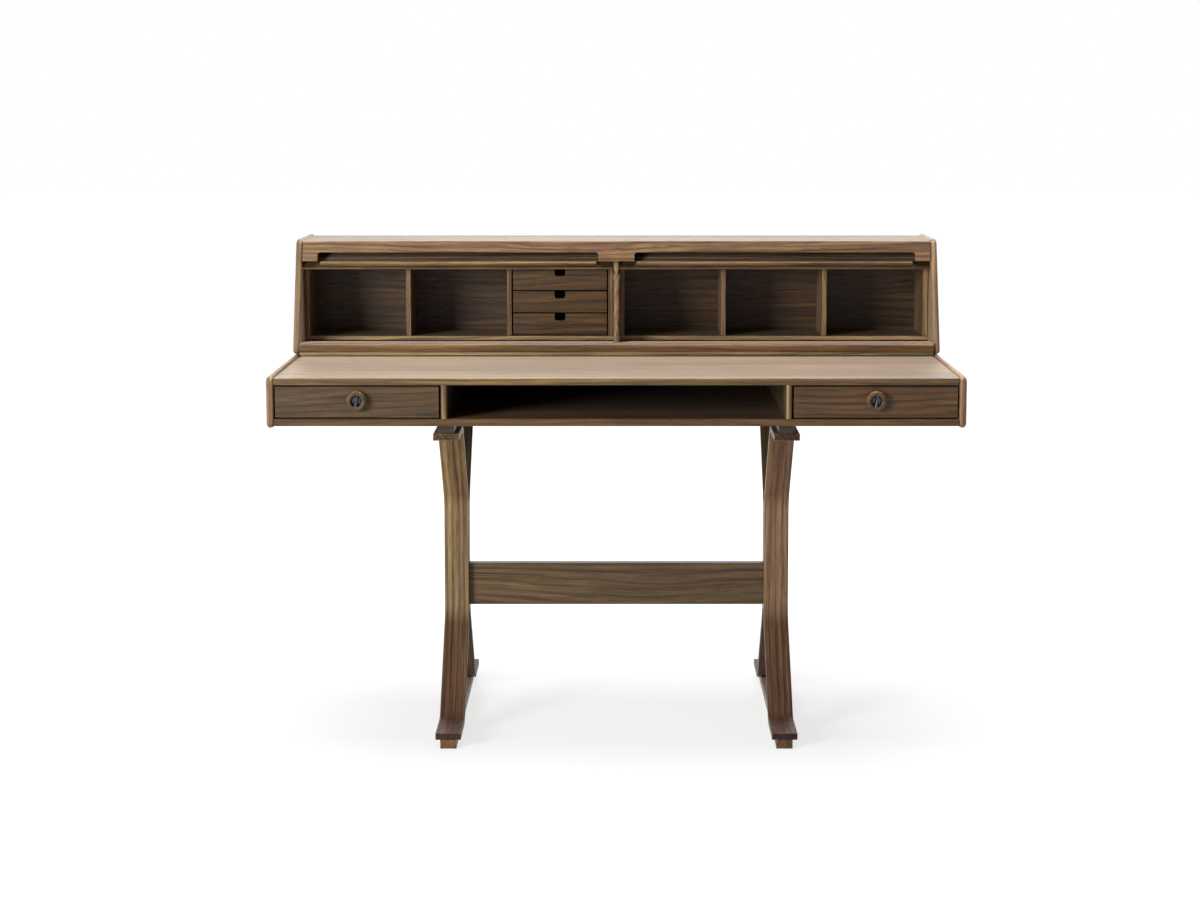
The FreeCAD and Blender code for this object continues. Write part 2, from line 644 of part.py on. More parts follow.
def make_pigeonholes():
    """Floor, ceiling, back, dividers and liners behind the shutters."""
    ceiling_z = (CELL_HIGH, CELL_HIGH + CEILING_THICK)
    cell_rear = CELL_BACK_FRONT + CELL_BACK_THICK
    floors = []
    ceilings = []
    backs = []
    liners = []
    spacers = []
    upright_z = (SHELF_HIGH, CELL_HIGH)
    upright_y = (CELL_FRONT, CELL_BACK_FRONT)
    for side in SIDES.values():
        x = span(side, HALF_PARTITION, INNER)
        floor = block(x, (SHELF_FRONT, HUTCH_BACK_FRONT), (SHELF_LOW, SHELF_HIGH))
        floors.append(rounded(
            floor, SHELF_EASE,
            lambda box: box.XLength > 1 and box.YMax < SHELF_FRONT + 0.1))
        ceilings.append(block(x, (CELL_FRONT, cell_rear), ceiling_z))
        backs.append(block(x, (CELL_BACK_FRONT, cell_rear), upright_z))
        for edge in (HALF_PARTITION + LINER_GAP, INNER - LINER_GAP - THIN_BOARD):
            liners.append(block(span(side, edge, edge + THIN_BOARD), upright_y, upright_z))
        for place in [FIRST_DIVIDER_X, FIRST_DIVIDER_X + CELL_PITCH] + SPACER_ENDS:
            strip_x = (side * place - SPACER_WIDE / 2, side * place + SPACER_WIDE / 2)
            strip_y = (SPACER_FRONT, HUTCH_BACK_FRONT - STRIP_INSET)
            spacers.append(block(strip_x, strip_y, (BASE_HIGH, SHELF_LOW)))
    for place in FOOT_PLACES:
        foot_x = (place - FOOT_WIDE / 2, place + FOOT_WIDE / 2)
        foot_y = (NOSING_REAR + STRIP_INSET, HUTCH_BACK_FRONT - STRIP_INSET)
        spacers.append(block(foot_x, foot_y, (CASE_TOP_HIGH, BASE_LOW)))
    nodes["hutch_floor"] = Part.makeCompound(floors)
    nodes["hutch_ceiling"] = Part.makeCompound(ceilings)
    nodes["compartment_back"] = Part.makeCompound(backs)
    nodes["compartment_liners"] = Part.makeCompound(liners)
    nodes["hutch_spacers"] = Part.makeCompound(spacers)

    for name, side in SIDES.items():
        for place, steps in {"inner": 0, "outer": 1}.items():
            middle = side * (FIRST_DIVIDER_X + steps * CELL_PITCH)
            x = (middle - THIN_BOARD / 2, middle + THIN_BOARD / 2)
            nodes[f"divider_{name}_{place}"] = block(x, upright_y, upright_z)


# ---------------------------------------------------------------- tambour shutters
def slat(start, end, x):
    """One slat: round back on the canvas, flat face with chamfered arrises."""
    near, far = x
    lift = math.degrees(SLAT_CHAMFER / SLAT_OUTER)
    shoulder = SLAT_OUTER - SLAT_CHAMFER
    face_points = [
        track_point(SLAT_INNER, end, near), track_point(shoulder, end, near),
        track_point(SLAT_OUTER, end - lift, near),
        track_point(SLAT_OUTER, start + lift, near),
        track_point(shoulder, start, near), track_point(SLAT_INNER, start, near)]
    edges = [track_arc(SLAT_INNER, start, end, near)]
    edges += [Part.makeLine(a, b) for a, b in zip(face_points, face_points[1:])]
    return Part.Face(Part.Wire(edges)).extrude(Vec(far - near, 0, 0))


def lead_rail(body_x, tongue_x):
    """The thick first slat, level underneath when the shutter is open."""
    def foot_angle(radius):
        return math.degrees(math.asin((RAIL_FOOT_Z - TRACK_Z) / radius))

    def outline(outer, x):
        inner_foot = foot_angle(SLAT_INNER)
        outer_foot = foot_angle(outer)
        near, far = x
        edges = [
            track_arc(SLAT_INNER, inner_foot, RAIL_HEAD_ANGLE, near),
            Part.makeLine(
                track_point(SLAT_INNER, RAIL_HEAD_ANGLE, near),
                track_point(outer, RAIL_HEAD_ANGLE, near)),
            track_arc(outer, RAIL_HEAD_ANGLE, outer_foot, near),
            Part.makeLine(
                track_point(outer, outer_foot, near),
                track_point(SLAT_INNER, inner_foot, near))]
        return Part.Face(Part.Wire(edges)).extrude(Vec(far - near, 0, 0))

    return outline(RAIL_OUTER, body_x).fuse(outline(SLAT_OUTER, tongue_x)).removeSplitter()


def handle_bar(x):
    """A half-round batten on the lead rail's face, drawn flat and turned into place."""
    y = (TRACK_Y - RAIL_OUTER - HANDLE_DEEP, TRACK_Y - RAIL_OUTER)
    z = (TRACK_Z - HANDLE_TALL / 2, TRACK_Z + HANDLE_TALL / 2)
    bar = rounded(
        block(x, y, z), HANDLE_ROUND,
        lambda box: box.YMax < y[0] + 0.1)
    bar.rotate(Vec(0, TRACK_Y, TRACK_Z), Vec(-1, 0, 0), HANDLE_ANGLE)
    seat = math.degrees(HANDLE_TALL / RAIL_OUTER)
    return bar.cut(track_band(
        SLAT_INNER, RAIL_OUTER, HANDLE_ANGLE - seat, HANDLE_ANGLE + seat,
        (x[0] - CUT_PAST, x[1] + CUT_PAST)))


def make_tambours():
    body = (HALF_PARTITION + TRACK_PLAY, INNER - TRACK_PLAY)
    tongue = (
        HALF_PARTITION - PARTITION_TRACK_DEEP + TRACK_PLAY,
        INNER + SIDE_TRACK_DEEP - TRACK_PLAY)
    canvas_x = (HALF_PARTITION + CANVAS_INSET, INNER - CANVAS_INSET)
    step = (TAIL_ANGLE - RAIL_HEAD_ANGLE) / SLAT_COUNT
    gap = math.degrees(SLAT_GAP / SLAT_OUTER)
    for name, side in SIDES.items():
        slats = []
        for i in range(SLAT_COUNT):
            start = RAIL_HEAD_ANGLE + i * step + gap
            slats.append(slat(start, start + step - gap, tongue))
        rail = lead_rail(body, tongue)
        inner_foot = math.degrees(math.asin((RAIL_FOOT_Z - TRACK_Z) / SLAT_INNER))
        canvas = track_band(
            SLAT_INNER - CANVAS_THICK, SLAT_INNER, inner_foot + CANVAS_START, TAIL_ANGLE,
            canvas_x)
        nodes[f"tambour_{name}_slats"] = handed(Part.makeCompound(slats), side)
        nodes[f"tambour_{name}_canvas"] = handed(canvas, side)
        nodes[f"tambour_{name}_rail"] = handed(rail, side)
        nodes[f"tambour_{name}_handle"] = handed(
            handle_bar((HANDLE_INNER, HANDLE_OUTER)), side)


# ---------------------------------------------------------------- trestles
def turn_between(a, b, c):
    """Signed turn in degrees, positive to the left, from a-b to b-c."""
    before = math.atan2(b[1] - a[1], b[0] - a[0])
    after = math.atan2(c[1] - b[1], c[0] - b[0])
    return math.degrees((after - before + math.pi) % (2 * math.pi) - math.pi)


def bent_line(path, bends, offset, x):
    """Edges of a (Y, Z) line beside a path: straight runs joined by tangent arcs.

    offset is measured to the path's left.
    """
    stations = []
    for i, radius in enumerate(bends, start=1):
        a, b, c = path[i - 1], path[i], path[i + 1]
        turn = math.radians(turn_between(a, b, c))
        trim = radius * math.tan(abs(turn) / 2)
        heading = math.atan2(b[1] - a[1], b[0] - a[0])
        start = (b[0] - trim * math.cos(heading), b[1] - trim * math.sin(heading))
        hand = 1 if turn > 0 else -1
        centre = (start[0] - hand * radius * math.sin(heading),
                  start[1] + hand * radius * math.cos(heading))
        reach = radius - hand * offset
        first = heading - hand * math.pi / 2
        points = []
        for part in (0.0, 0.5, 1.0):
            angle = first + part * turn
            points.append(Vec(
                x, centre[0] + reach * math.cos(angle), centre[1] + reach * math.sin(angle)))
        stations.append(points)

    def end_point(at, other, sign):
        heading = math.atan2(other[1] - at[1], other[0] - at[0])
        if sign < 0:
            heading += math.pi
        return Vec(x, at[0] - offset * math.sin(heading), at[1] + offset * math.cos(heading))

    here = end_point(path[0], path[1], 1)
    edges = []
    for start, middle, finish in stations:
        edges.append(Part.makeLine(here, start))
        edges.append(Part.Arc(start, middle, finish).toShape())
        here = finish
    edges.append(Part.makeLine(here, end_point(path[-1], path[-2], -1)))
    return edges


def bent_strip(path, bends, thick, x):
    """A laminated strip bent along a (Y, Z) path and drawn out across X."""
    near, far = x
    left = bent_line(path, bends, thick / 2, near)
    right = bent_line(path, bends, -thick / 2, near)
    caps = []
    for index in (0, -1):
        a = left[index].Vertexes[index].Point
        b = right[index].Vertexes[index].Point
        caps.append(Part.makeLine(a, b))
    wire = Part.Wire(Part.__sortEdges__(left + caps + right))
    return Part.Face(wire).extrude(Vec(far - near, 0, 0))


def leg_path():
    """Centre line of a front leg, from the toe of its foot to the end of its head."""
    foot_z = RUNNER_TALL + LEG_THICK / 2
    head_z = HEAD_RAIL_LOW - LEG_THICK / 2
    return [
        (PAD_END, foot_z), (PAD_KINK, foot_z), (STEM_Y, STEM_LOW_KINK),
        (STEM_Y, STEM_HIGH_KINK), (HEAD_KINK, head_z), (PAD_END, head_z)]


def make_trestles():
    bends = [PAD_BEND, STEM_BEND, STEM_BEND, PAD_BEND]
    for name, side in SIDES.items():
        x = span(side, LEG_X - LEG_WIDE / 2, LEG_X + LEG_WIDE / 2)
        narrow = span(side, LEG_X - RUNNER_WIDE / 2, LEG_X + RUNNER_WIDE / 2)
        screws = Part.makeCompound(trestle_screws(side))
        leg = bent_strip(leg_path(), bends, LEG_THICK, x)
        nodes[f"trestle_{name}_leg_front"] = leg.cut(screws)
        nodes[f"trestle_{name}_leg_back"] = about_middle(leg).cut(screws)

        half_core = MIDDLE - STEM_Y - LEG_THICK / 2
        core = block(x, (MIDDLE - half_core, MIDDLE + half_core), (CORE_LOW, CORE_HIGH))
        nodes[f"trestle_{name}_core"] = core.cut(
            Part.makeCompound(stretcher_bolts(side)))

        length = (RUNNER_END, DEPTH - RUNNER_END)
        runner = block(narrow, length, (0, RUNNER_TALL))
        nodes[f"trestle_{name}_floor_runner"] = runner.cut(screws)
        rail = block(narrow, length, (HEAD_RAIL_LOW, CASE_FLOOR_LOW))
        nodes[f"trestle_{name}_head_rail"] = rail.cut(screws)

    reach = LEG_X - LEG_WIDE / 2
    half_core = MIDDLE - STEM_Y - LEG_THICK / 2
    stretcher = block(
        (-reach, reach), (MIDDLE - half_core, MIDDLE + half_core),
        (STRETCHER_LOW, STRETCHER_HIGH))
    long_edges = [edge for edge in stretcher.Edges if edge.BoundBox.XLength > 1]
    stretcher = stretcher.makeChamfer(STRETCHER_CHAMFER, long_edges)
    bolts = stretcher_bolts(-1) + stretcher_bolts(1)
    nodes["stretcher"] = stretcher.cut(Part.makeCompound(bolts))
    nodes["stretcher_bolts"] = Part.makeCompound(bolts)
    nodes["trestle_screws"] = Part.makeCompound(trestle_screws(-1) + trestle_screws(1))


# ---------------------------------------------------------------- build
def main():
    make_case()
    make_runners()
    make_big_drawers()
    make_small_drawers()
    make_hutch_shell()
    make_partition()
    make_pigeonholes()
    make_tambours()
    make_trestles()

    os.makedirs("parts", exist_ok=True)
    for name, shape in nodes.items():
        shape.translate(Vec(0, -FOOTPRINT_MIDDLE, 0))
        shape.exportStep(f"parts/{name}.step")
        print(f"{name:32s} solids {len(shape.Solids):3d} "
              f"volume {shape.Volume / 1000:9.1f} cm3 valid {shape.isValid()}")


main()
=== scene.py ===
"""Looks for a walnut writing desk with tambour shutters.

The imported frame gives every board, drawer and leg its place.  Flat boards are copied from it and
their sharp edges eased, as a maker's sandpaper does.  The bent legs, round-edged side panels,
turned knobs, metal cups and screw heads are shaped here.  Lengths are metres in the frame's own
axes: X to the sitter's right, Y to the back and Z up.
"""

import json
import logging
import math
from collections.abc import Callable
from dataclasses import dataclass
from enum import Enum, StrEnum
from typing import ClassVar, Protocol

import bmesh
import bpy
from mathutils import Matrix, Vector


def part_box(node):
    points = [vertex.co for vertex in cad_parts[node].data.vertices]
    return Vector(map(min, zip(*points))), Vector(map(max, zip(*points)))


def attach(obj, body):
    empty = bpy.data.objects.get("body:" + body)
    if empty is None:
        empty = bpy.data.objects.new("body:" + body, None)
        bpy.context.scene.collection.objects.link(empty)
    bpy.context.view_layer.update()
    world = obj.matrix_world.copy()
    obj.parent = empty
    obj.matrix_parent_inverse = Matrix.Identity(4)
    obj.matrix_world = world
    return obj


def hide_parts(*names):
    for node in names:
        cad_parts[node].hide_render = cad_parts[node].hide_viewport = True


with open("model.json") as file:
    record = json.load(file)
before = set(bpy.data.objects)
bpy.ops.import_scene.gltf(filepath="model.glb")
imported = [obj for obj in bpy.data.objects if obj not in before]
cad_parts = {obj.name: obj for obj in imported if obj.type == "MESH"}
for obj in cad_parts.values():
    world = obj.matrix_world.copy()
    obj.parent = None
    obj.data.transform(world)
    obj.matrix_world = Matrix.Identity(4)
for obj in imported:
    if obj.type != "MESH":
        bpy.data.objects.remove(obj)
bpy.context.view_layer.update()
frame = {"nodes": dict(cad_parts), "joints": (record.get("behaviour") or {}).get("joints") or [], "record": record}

log = logging.getLogger("writing_desk")

Tree = bpy.types.NodeTree
Piece = bpy.types.Object
Source = bpy.types.Node | bpy.types.NodeSocket      # a node stands for its first live output
Triple = tuple[float, float, float]
Profile = tuple[tuple[float, float], ...]           # (radius, distance out), back to front

MM = 0.001
NEAR = 0.1 * MM                  # a corner this near a face counts as lying on it
HAIR = 0.01 * MM                 # smaller than any real gap
STRIP_PLACE = "strip_place"      # attribute: across, along and through a bent strip
STRIP_END = "strip_end"          # attribute: 1 on a strip's sawn ends
STRIP_STRETCH = "strip_stretch"  # attribute: 0 on a strip's foot, 0.5 on its stem, 1 on its head; it places the painted shade
TINTING = {"data_type": "RGBA", "blend_type": "MULTIPLY", "Factor": 1.0}


class Hand(StrEnum):
    """Side of the desk, as the sitter sees it."""

    LEFT = "left"
    RIGHT = "right"


# ------------------------------------------------------------------ node helpers
def linear(hex_colour: str) -> tuple[float, float, float, float]:
    """Turn an sRGB hex colour into linear RGBA.

    Args:
        hex_colour: Colour such as "#8a6b52".

    Returns:
        Linear red, green and blue, and an alpha of 1.
    """
    parts = [int(hex_colour[i:i + 2], 16) / 255 for i in (1, 3, 5)]
    red, green, blue = (
        part / 12.92 if part <= 0.04045 else ((part + 0.055) / 1.055) ** 2.4 for part in parts)
    return red, green, blue, 1.0


def add(tree: Tree, kind: str, values: dict | None = None) -> bpy.types.Node:
    """Add a node with its settings and links.

    Args:
        tree: Node tree that gets the node.
        kind: Node type, without the leading "ShaderNode".
        values: Node properties, then its inputs by name or number.  An input takes a value, a
            socket or a node, and "stops" holds a colour ramp's places and linear colours.

    Returns:
        The new node.
    """
    node = tree.nodes.new("ShaderNode" + kind)
    for key, value in (values or {}).items():
        if key == "stops":
            for _ in value[2:]:
                node.color_ramp.elements.new(0.5)
            for stop, (place, colour) in zip(node.color_ramp.elements, value):
                stop.position, stop.color = place, colour
            continue
        if isinstance(key, str) and hasattr(node, key):
            setattr(node, key, value)
            continue
        socket = node.inputs[key] if isinstance(key, int) else next(
            entry for entry in node.inputs if entry.name == key and entry.enabled)
        if isinstance(value, bpy.types.Node):
            value = next(output for output in value.outputs if output.enabled)
        if isinstance(value, bpy.types.NodeSocket):
            tree.links.new(value, socket)
        else:
            socket.default_value = value
    return node


def wave_scale(spacing: float) -> float:
    """Give the wave texture's scale, in twentieths, for bands that many millimetres apart."""
    return 2 * math.pi / 20 / (spacing * MM)


def blank_material(name: str) -> tuple[bpy.types.Material, Tree]:
    """Make a material with an empty node tree.

    Args:
        name: The material's name.

    Returns:
        The material and its tree.
    """
    material = bpy.data.materials.new(name)
    material.use_nodes = True
    material.node_tree.nodes.clear()
    return material, material.node_tree


# ------------------------------------------------------------------ finishes
class Grain(Enum):
    """Way that a board's grain runs: the turn in degrees that lays it along X, and its axis."""

    ALONG_X = ((0, 0, 0), (1, 0, 0))
    ALONG_Y = ((0, 0, -90), (0, 1, 0))
    ALONG_Z = ((0, 90, 0), (0, 0, 1))

    def turn(self) -> Triple:
        """Give the turn in radians."""
        return tuple(math.radians(degrees) for degrees in self.value[0])

    def axis(self) -> Triple:
        """Give the unit vector that runs along the grain."""
        return self.value[1]


class Tone(Enum):
    """Colours of walnut, from its dark late wood to its pale early wood."""

    FAIR = ("#6b4f38", "#9d7d5a", "#ba976b", "#cdab84")
    LIGHT = ("#5e4531", "#8b6e51", "#a58661", "#b79976")
    PALE = ("#533d2b", "#7b6147", "#927655", "#a28768")
    WARM = ("#48321f", "#6f5134", "#856442", "#967651")
    BROWN = ("#3d2c1e", "#624932", "#765c41", "#896d4f")
    DEEP = ("#2a1c11", "#432f1d", "#543d27", "#654b32")


@dataclass(frozen=True)
class Fleck:
    """Noise drawn out along the grain.

    Attributes:
        along: Length of a fleck in millimetres.
        across: Its width.
        detail: How many finer layers it has.
        weight: Weight of the finer layers.
    """

    along: float
    across: float
    detail: float
    weight: float = 0.6

    def lay(self, tree: Tree, place: Source) -> bpy.types.Node:
        """Add the noise.

        Args:
            tree: The material's tree.
            place: Where the noise is read, with the grain along X.

        Returns:
            The noise node.
        """
        thin = 1 / (self.across * MM)
        laid = add(tree, "Mapping", {"Scale": (1 / (self.along * MM), thin, thin),
                                     "Vector": place})
        return add(tree, "TexNoise", {"Scale": 1.0, "Detail": self.detail,
                                      "Roughness": self.weight, "Vector": laid})


@dataclass(frozen=True)
class Walnut:
    """Black walnut, planed, sanded and oiled.

    That gives the eye straight soft streaks of brown, short dark pores along them, a low satin
    gloss, and a pale veil where the surface is seen almost edge-on.

    Attributes:
        name: Material name.
        grain: Way the grain runs.
        tone: Palette of the board.
        seed: Moves the pattern, so that no two boards are alike.
        figure: Share of the growth rings in the pattern.
        roughness: Satin of the oiled surface.
        veil: Strength of the pale veil of cut fibre ends.
        stain: Wash that darkens or warms the palette: a stain on most boards, and painted shade on some.
        ends: Share of the colour that is left on sawn ends, which drink more oil.
        faces: Share of the colour that is left on a panel's faces, a painted shade as inside the openings; the
            lipped front edge keeps the full colour.
        bent: True where the grain follows a bent strip's own attribute.
        calm: Share of the sway that is left, for boards sawn from straight stock.
        lipping: Lean in degrees of the solid lipping on the front edge, whose grain runs up it.
        gloss: Level of the clear reflection; a matt oil leaves less.
        leans: Painted shade on a bent strip's foot and head, which lean away from its stem; the stem keeps the
            full colour.
    """

    name: str
    grain: Grain
    tone: Tone
    seed: int = 0
    figure: float = 0.3
    roughness: float = 0.42
    veil: float = 0.1
    stain: str = "#ffffff"
    ends: float = 0.62
    faces: float = 1.0
    bent: bool = False
    calm: float = 1.0
    lipping: float | None = None
    gloss: float = 0.5
    leans: tuple[str, str] | None = None

    STEP = (0.37, 0.211, 0.173)      # metres between one seed's part of the pattern and the next
    PLY, PLIES = 2.0, 7              # mm, one layer of a bent lamination, and their number
    PLY_WITHIN = 0.97                # keeps both faces of the strip inside its outer layers
    PLY_SHADES = {"To Min": 0.86, "To Max": 1.12}
    GLUE_WIDE, GLUE_DARK = 0.12, 0.3     # share of a layer, and of the light that it takes

    # real growth rings are 2 to 5 mm wide and real fibres and pores 0.2 mm: they are all drawn
    # wider, so that they still show across the room
    RING_SPACING = 10.0
    PITH = (0, 0.03, -0.055)         # metres, middle of the rings beside the board
    LONG_SWAY, PLAIN_REACH, RING_REACH = Fleck(700, 160, 2, 0.5), 6, 50
    SHORT_SWAY, SHORT_REACH = Fleck(150, 14, 2, 0.5), 1.8
    ZONES = Fleck(1100, 42, 2)
    STREAKS = Fleck(520, 8.5, 4)
    FIBRES = Fleck(110, 3.2, 3)
    DRIFT = Fleck(650, 26, 1)
    PORES, PORE_DARK, PORE_ROUGH = Fleck(38, 2.6, 1), 0.22, 0.14
    CLOUDS = Fleck(420, 120, 1)

    PALETTE_AT = (0.36, 0.45, 0.54, 0.66)       # most of the pattern lies between these levels
    TINTS = ((0.35, linear("#fcffe8")), (0.65, linear("#fff5f0")))
    RING_LEVELS = {"To Min": 0.36, "To Max": 0.64}
    PORE_LEVELS = {"From Min": 0.54, "From Max": 0.68}
    FIBRE_SHADES = {"From Min": 0.3, "From Max": 0.7, "To Min": 0.62, "To Max": 1.44}
    LATE_WOOD_SHADES = {"From Min": 0.02, "From Max": 0.3, "To Min": 0.7}
    CLOUD_SHADES = {"From Min": 0.36, "From Max": 0.64, "To Min": 0.84, "To Max": 1.16}
    FACED = {"From Min": 0.6, "From Max": 0.95}     # from 53 to 18 degrees off an axis

    def build(self) -> bpy.types.Material:
        """Make the material.

        Returns:
            The finished material.
        """
        material, tree = blank_material(self.name)
        colour, height, pores = self._pattern(tree, self._placed(tree))
        if self.bent:
            ends = add(tree, "Attribute", {"attribute_name": STRIP_END}).outputs["Fac"]
        else:
            ends = self._facing(tree, self.grain.axis())
        colour = self._shaded(tree, colour, ends, 1.0, self.ends)
        if self.bent:
            colour = self._plies(tree, colour)
        # painted shade on a bent strip's foot and head, which leaves the stem the most lit
        if self.leans:
            colour = self._leaning(tree, colour)
        # painted shade on a panel's faces; the front edge keeps the full colour
        if self.faces < 1:
            colour = self._shaded(tree, colour, self._facing(tree, (0, 1, 0)), self.faces, 1.0)
        rough = add(tree, "MapRange", {"Value": pores, "To Min": self.roughness,
                                       "To Max": self.roughness + self.PORE_ROUGH})
        bump = add(tree, "Bump", {"Strength": 0.35, "Distance": 0.25 * MM, "Height": height})
        shader = add(tree, "BsdfPrincipled", {
            "IOR": 1.45, "Specular IOR Level": self.gloss, "Sheen Weight": self.veil,
            "Sheen Roughness": 0.4, "Sheen Tint": linear("#ffeddf"),
            "Base Color": colour, "Roughness": rough, "Normal": bump})
        add(tree, "OutputMaterial", {"Surface": shader})
        return material

    def _placed(self, tree: Tree) -> Source:
        """Lay the grain along X and sway it as a growing trunk does.

        Args:
            tree: The material's tree.

        Returns:
            The place at which the pattern is read.
        """
        if self.bent:
            source = add(tree, "Attribute", {"attribute_name": STRIP_PLACE}).outputs["Vector"]
            turn = Grain.ALONG_Y.turn()
        else:
            source = add(tree, "TexCoord").outputs["Object"]
            turn = self.grain.turn()
        away = tuple(step * self.seed for step in self.STEP)
        place = add(tree, "Mapping", {"Rotation": turn, "Location": away, "Vector": source})
        if self.lipping is not None:
            place = self._lipped(tree, source, place)
        reach = self.PLAIN_REACH + self.RING_REACH * self.figure
        place = self._sway(tree, place, self.LONG_SWAY, reach * self.calm)
        return self._sway(tree, place, self.SHORT_SWAY, self.SHORT_REACH * self.calm)

    def _lipped(self, tree: Tree, source: Source, place: Source) -> Source:
        """Turn the grain up the edge on faces that look to the front or back.

        Args:
            tree: The material's tree.
            source: The piece's own coordinates.
            place: The place that the other faces read.

        Returns:
            The place for all faces.
        """
        lean = (math.radians(self.lipping), 0, 0)
        upright = add(tree, "Mapping", {"Rotation": lean, "Vector": source})
        along = add(tree, "Mapping", {"Rotation": Grain.ALONG_Z.turn(), "Vector": upright})
        edge = add(tree, "Math", {"operation": "GREATER_THAN",
                                  0: self._facing(tree, (0, 1, 0)), 1: 0.5})
        return add(tree, "Mix", {"data_type": "VECTOR", "Factor": edge, "A": place, "B": along})

    @staticmethod
    def _sway(tree: Tree, place: Source, fleck: Fleck, reach: float) -> Source:
        """Push a place sideways.

        Args:
            tree: The material's tree.
            place: The place.
            fleck: Noise that gives the push.
            reach: Farthest push in millimetres, or nearly.

        Returns:
            The place after the push.
        """
        push = 2 * reach * MM
        centred = add(tree, "VectorMath", {
            "operation": "MULTIPLY_ADD", 0: fleck.lay(tree, place).outputs["Color"],
            1: (0, push, push), 2: (0, -push / 2, -push / 2)})
        return add(tree, "VectorMath", {"operation": "ADD", 0: place, 1: centred})

    def _pattern(self, tree: Tree, place: Source) -> tuple[Source, Source, Source]:
        """Mix growth zones and rings, streaks, fibres and pores.

        Args:
            tree: The material's tree.
            place: The place at which the pattern is read.

        Returns:
            Colour, height and pores.
        """
        pith = add(tree, "Mapping", {"Location": self.PITH, "Vector": place})
        rings = add(tree, "TexWave", {
            "wave_type": "RINGS", "rings_direction": "X",
            "Scale": wave_scale(self.RING_SPACING), "Vector": pith}).outputs["Fac"]
        softer = add(tree, "MapRange", self.RING_LEVELS | {"Value": rings})
        banded = add(tree, "Mix", {"data_type": "FLOAT", "Factor": self.figure,
                                   "A": self.ZONES.lay(tree, place), "B": softer})
        mixed = add(tree, "Mix", {"data_type": "FLOAT", "Factor": 0.5,
                                  "A": banded, "B": self.STREAKS.lay(tree, place)})
        wash = linear(self.stain)
        palette = [(level, [part * share for part, share in zip(linear(colour), wash)])
                   for level, colour in zip(self.PALETTE_AT, self.tone.value)]
        ramp = add(tree, "ValToRGB", {"stops": palette, "Fac": mixed})
        drift = add(tree, "ValToRGB", {"stops": self.TINTS, "Fac": self.DRIFT.lay(tree, place)})
        tinted = add(tree, "Mix", TINTING | {"A": ramp, "B": drift})

        pores, fibres, late_wood, clouds = (
            add(tree, "MapRange", levels | {"Value": source}) for source, levels in (
                (self.PORES.lay(tree, place), self.PORE_LEVELS),
                (self.FIBRES.lay(tree, place), self.FIBRE_SHADES),
                (rings, self.LATE_WOOD_SHADES),
                (self.CLOUDS.lay(tree, place), self.CLOUD_SHADES)))
        lined = add(tree, "Math", {"operation": "MULTIPLY", 0: fibres, 1: late_wood})
        toned = add(tree, "Math", {"operation": "MULTIPLY", 0: lined, 1: clouds})
        shade = add(tree, "Math", {"operation": "MULTIPLY_ADD",
                                   0: pores, 1: -self.PORE_DARK, 2: toned})
        return add(tree, "Mix", TINTING | {"A": tinted, "B": shade}), shade, pores

    @staticmethod
    def _facing(tree: Tree, axis: Triple) -> Source:
        """Say how squarely a surface faces along an axis.

        Args:
            tree: The material's tree.
            axis: Unit vector in the piece's own frame.

        Returns:
            0 where the surface runs along the axis, to 1 where it is square to it.
        """
        normal = add(tree, "TexCoord").outputs["Normal"]
        dot = add(tree, "VectorMath", {"operation": "DOT_PRODUCT", 0: normal, 1: axis})
        return add(tree, "Math", {"operation": "ABSOLUTE", 0: dot})

    def _shaded(
        self, tree: Tree, colour: Source, facing: Source, beside: float, along: float,
    ) -> Source:
        """Scale the colour by one share where facing is low and by another where it is high."""
        share = add(tree, "MapRange", self.FACED | {
            "To Min": beside, "To Max": along, "Value": facing})
        return add(tree, "Mix", TINTING | {"A": colour, "B": share})

    def _plies(self, tree: Tree, colour: Source) -> Source:
        """Give each layer of a lamination its own shade, with thin dark glue lines.

        Args:
            tree: The material's tree.
            colour: The wood's colour.

        Returns:
            The colour with the layers in it.
        """
        place = add(tree, "Attribute", {"attribute_name": STRIP_PLACE}).outputs["Vector"]
        through = add(tree, "SeparateXYZ", {0: place}).outputs["Z"]
        layers = add(tree, "Math", {"operation": "MULTIPLY_ADD", 0: through,
                                    1: self.PLY_WITHIN / (self.PLY * MM), 2: self.PLIES / 2})
        layer = add(tree, "Math", {"operation": "FLOOR", 0: layers})
        chance = add(tree, "TexWhiteNoise", {"noise_dimensions": "1D", "W": layer})
        shade = add(tree, "MapRange", self.PLY_SHADES | {"Value": chance})
        within = add(tree, "Math", {"operation": "FRACT", 0: layers})
        glue = add(tree, "Math", {"operation": "LESS_THAN", 0: within, 1: self.GLUE_WIDE})
        share = add(tree, "Math", {"operation": "MULTIPLY_ADD",
                                   0: glue, 1: -self.GLUE_DARK, 2: shade})
        return add(tree, "Mix", TINTING | {"A": colour, "B": share})

    def _leaning(self, tree: Tree, colour: Source) -> Source:
        """Paint shade on the foot and the head of a bent strip, which take the light differently from its stem.

        Args:
            tree: The material's tree.
            colour: The wood's colour.

        Returns:
            The colour, with painted shade on foot and head.
        """
        foot, head = self.leans
        where = add(tree, "Attribute", {"attribute_name": STRIP_STRETCH}).outputs["Fac"]
        shade_stops = [(place, linear(shade)) for place, shade in (
            (0.0, foot), (0.5, "#ffffff"), (1.0, head))]
        wash = add(tree, "ValToRGB", {"stops": shade_stops, "Fac": where})
        return add(tree, "Mix", TINTING | {"A": colour, "B": wash})


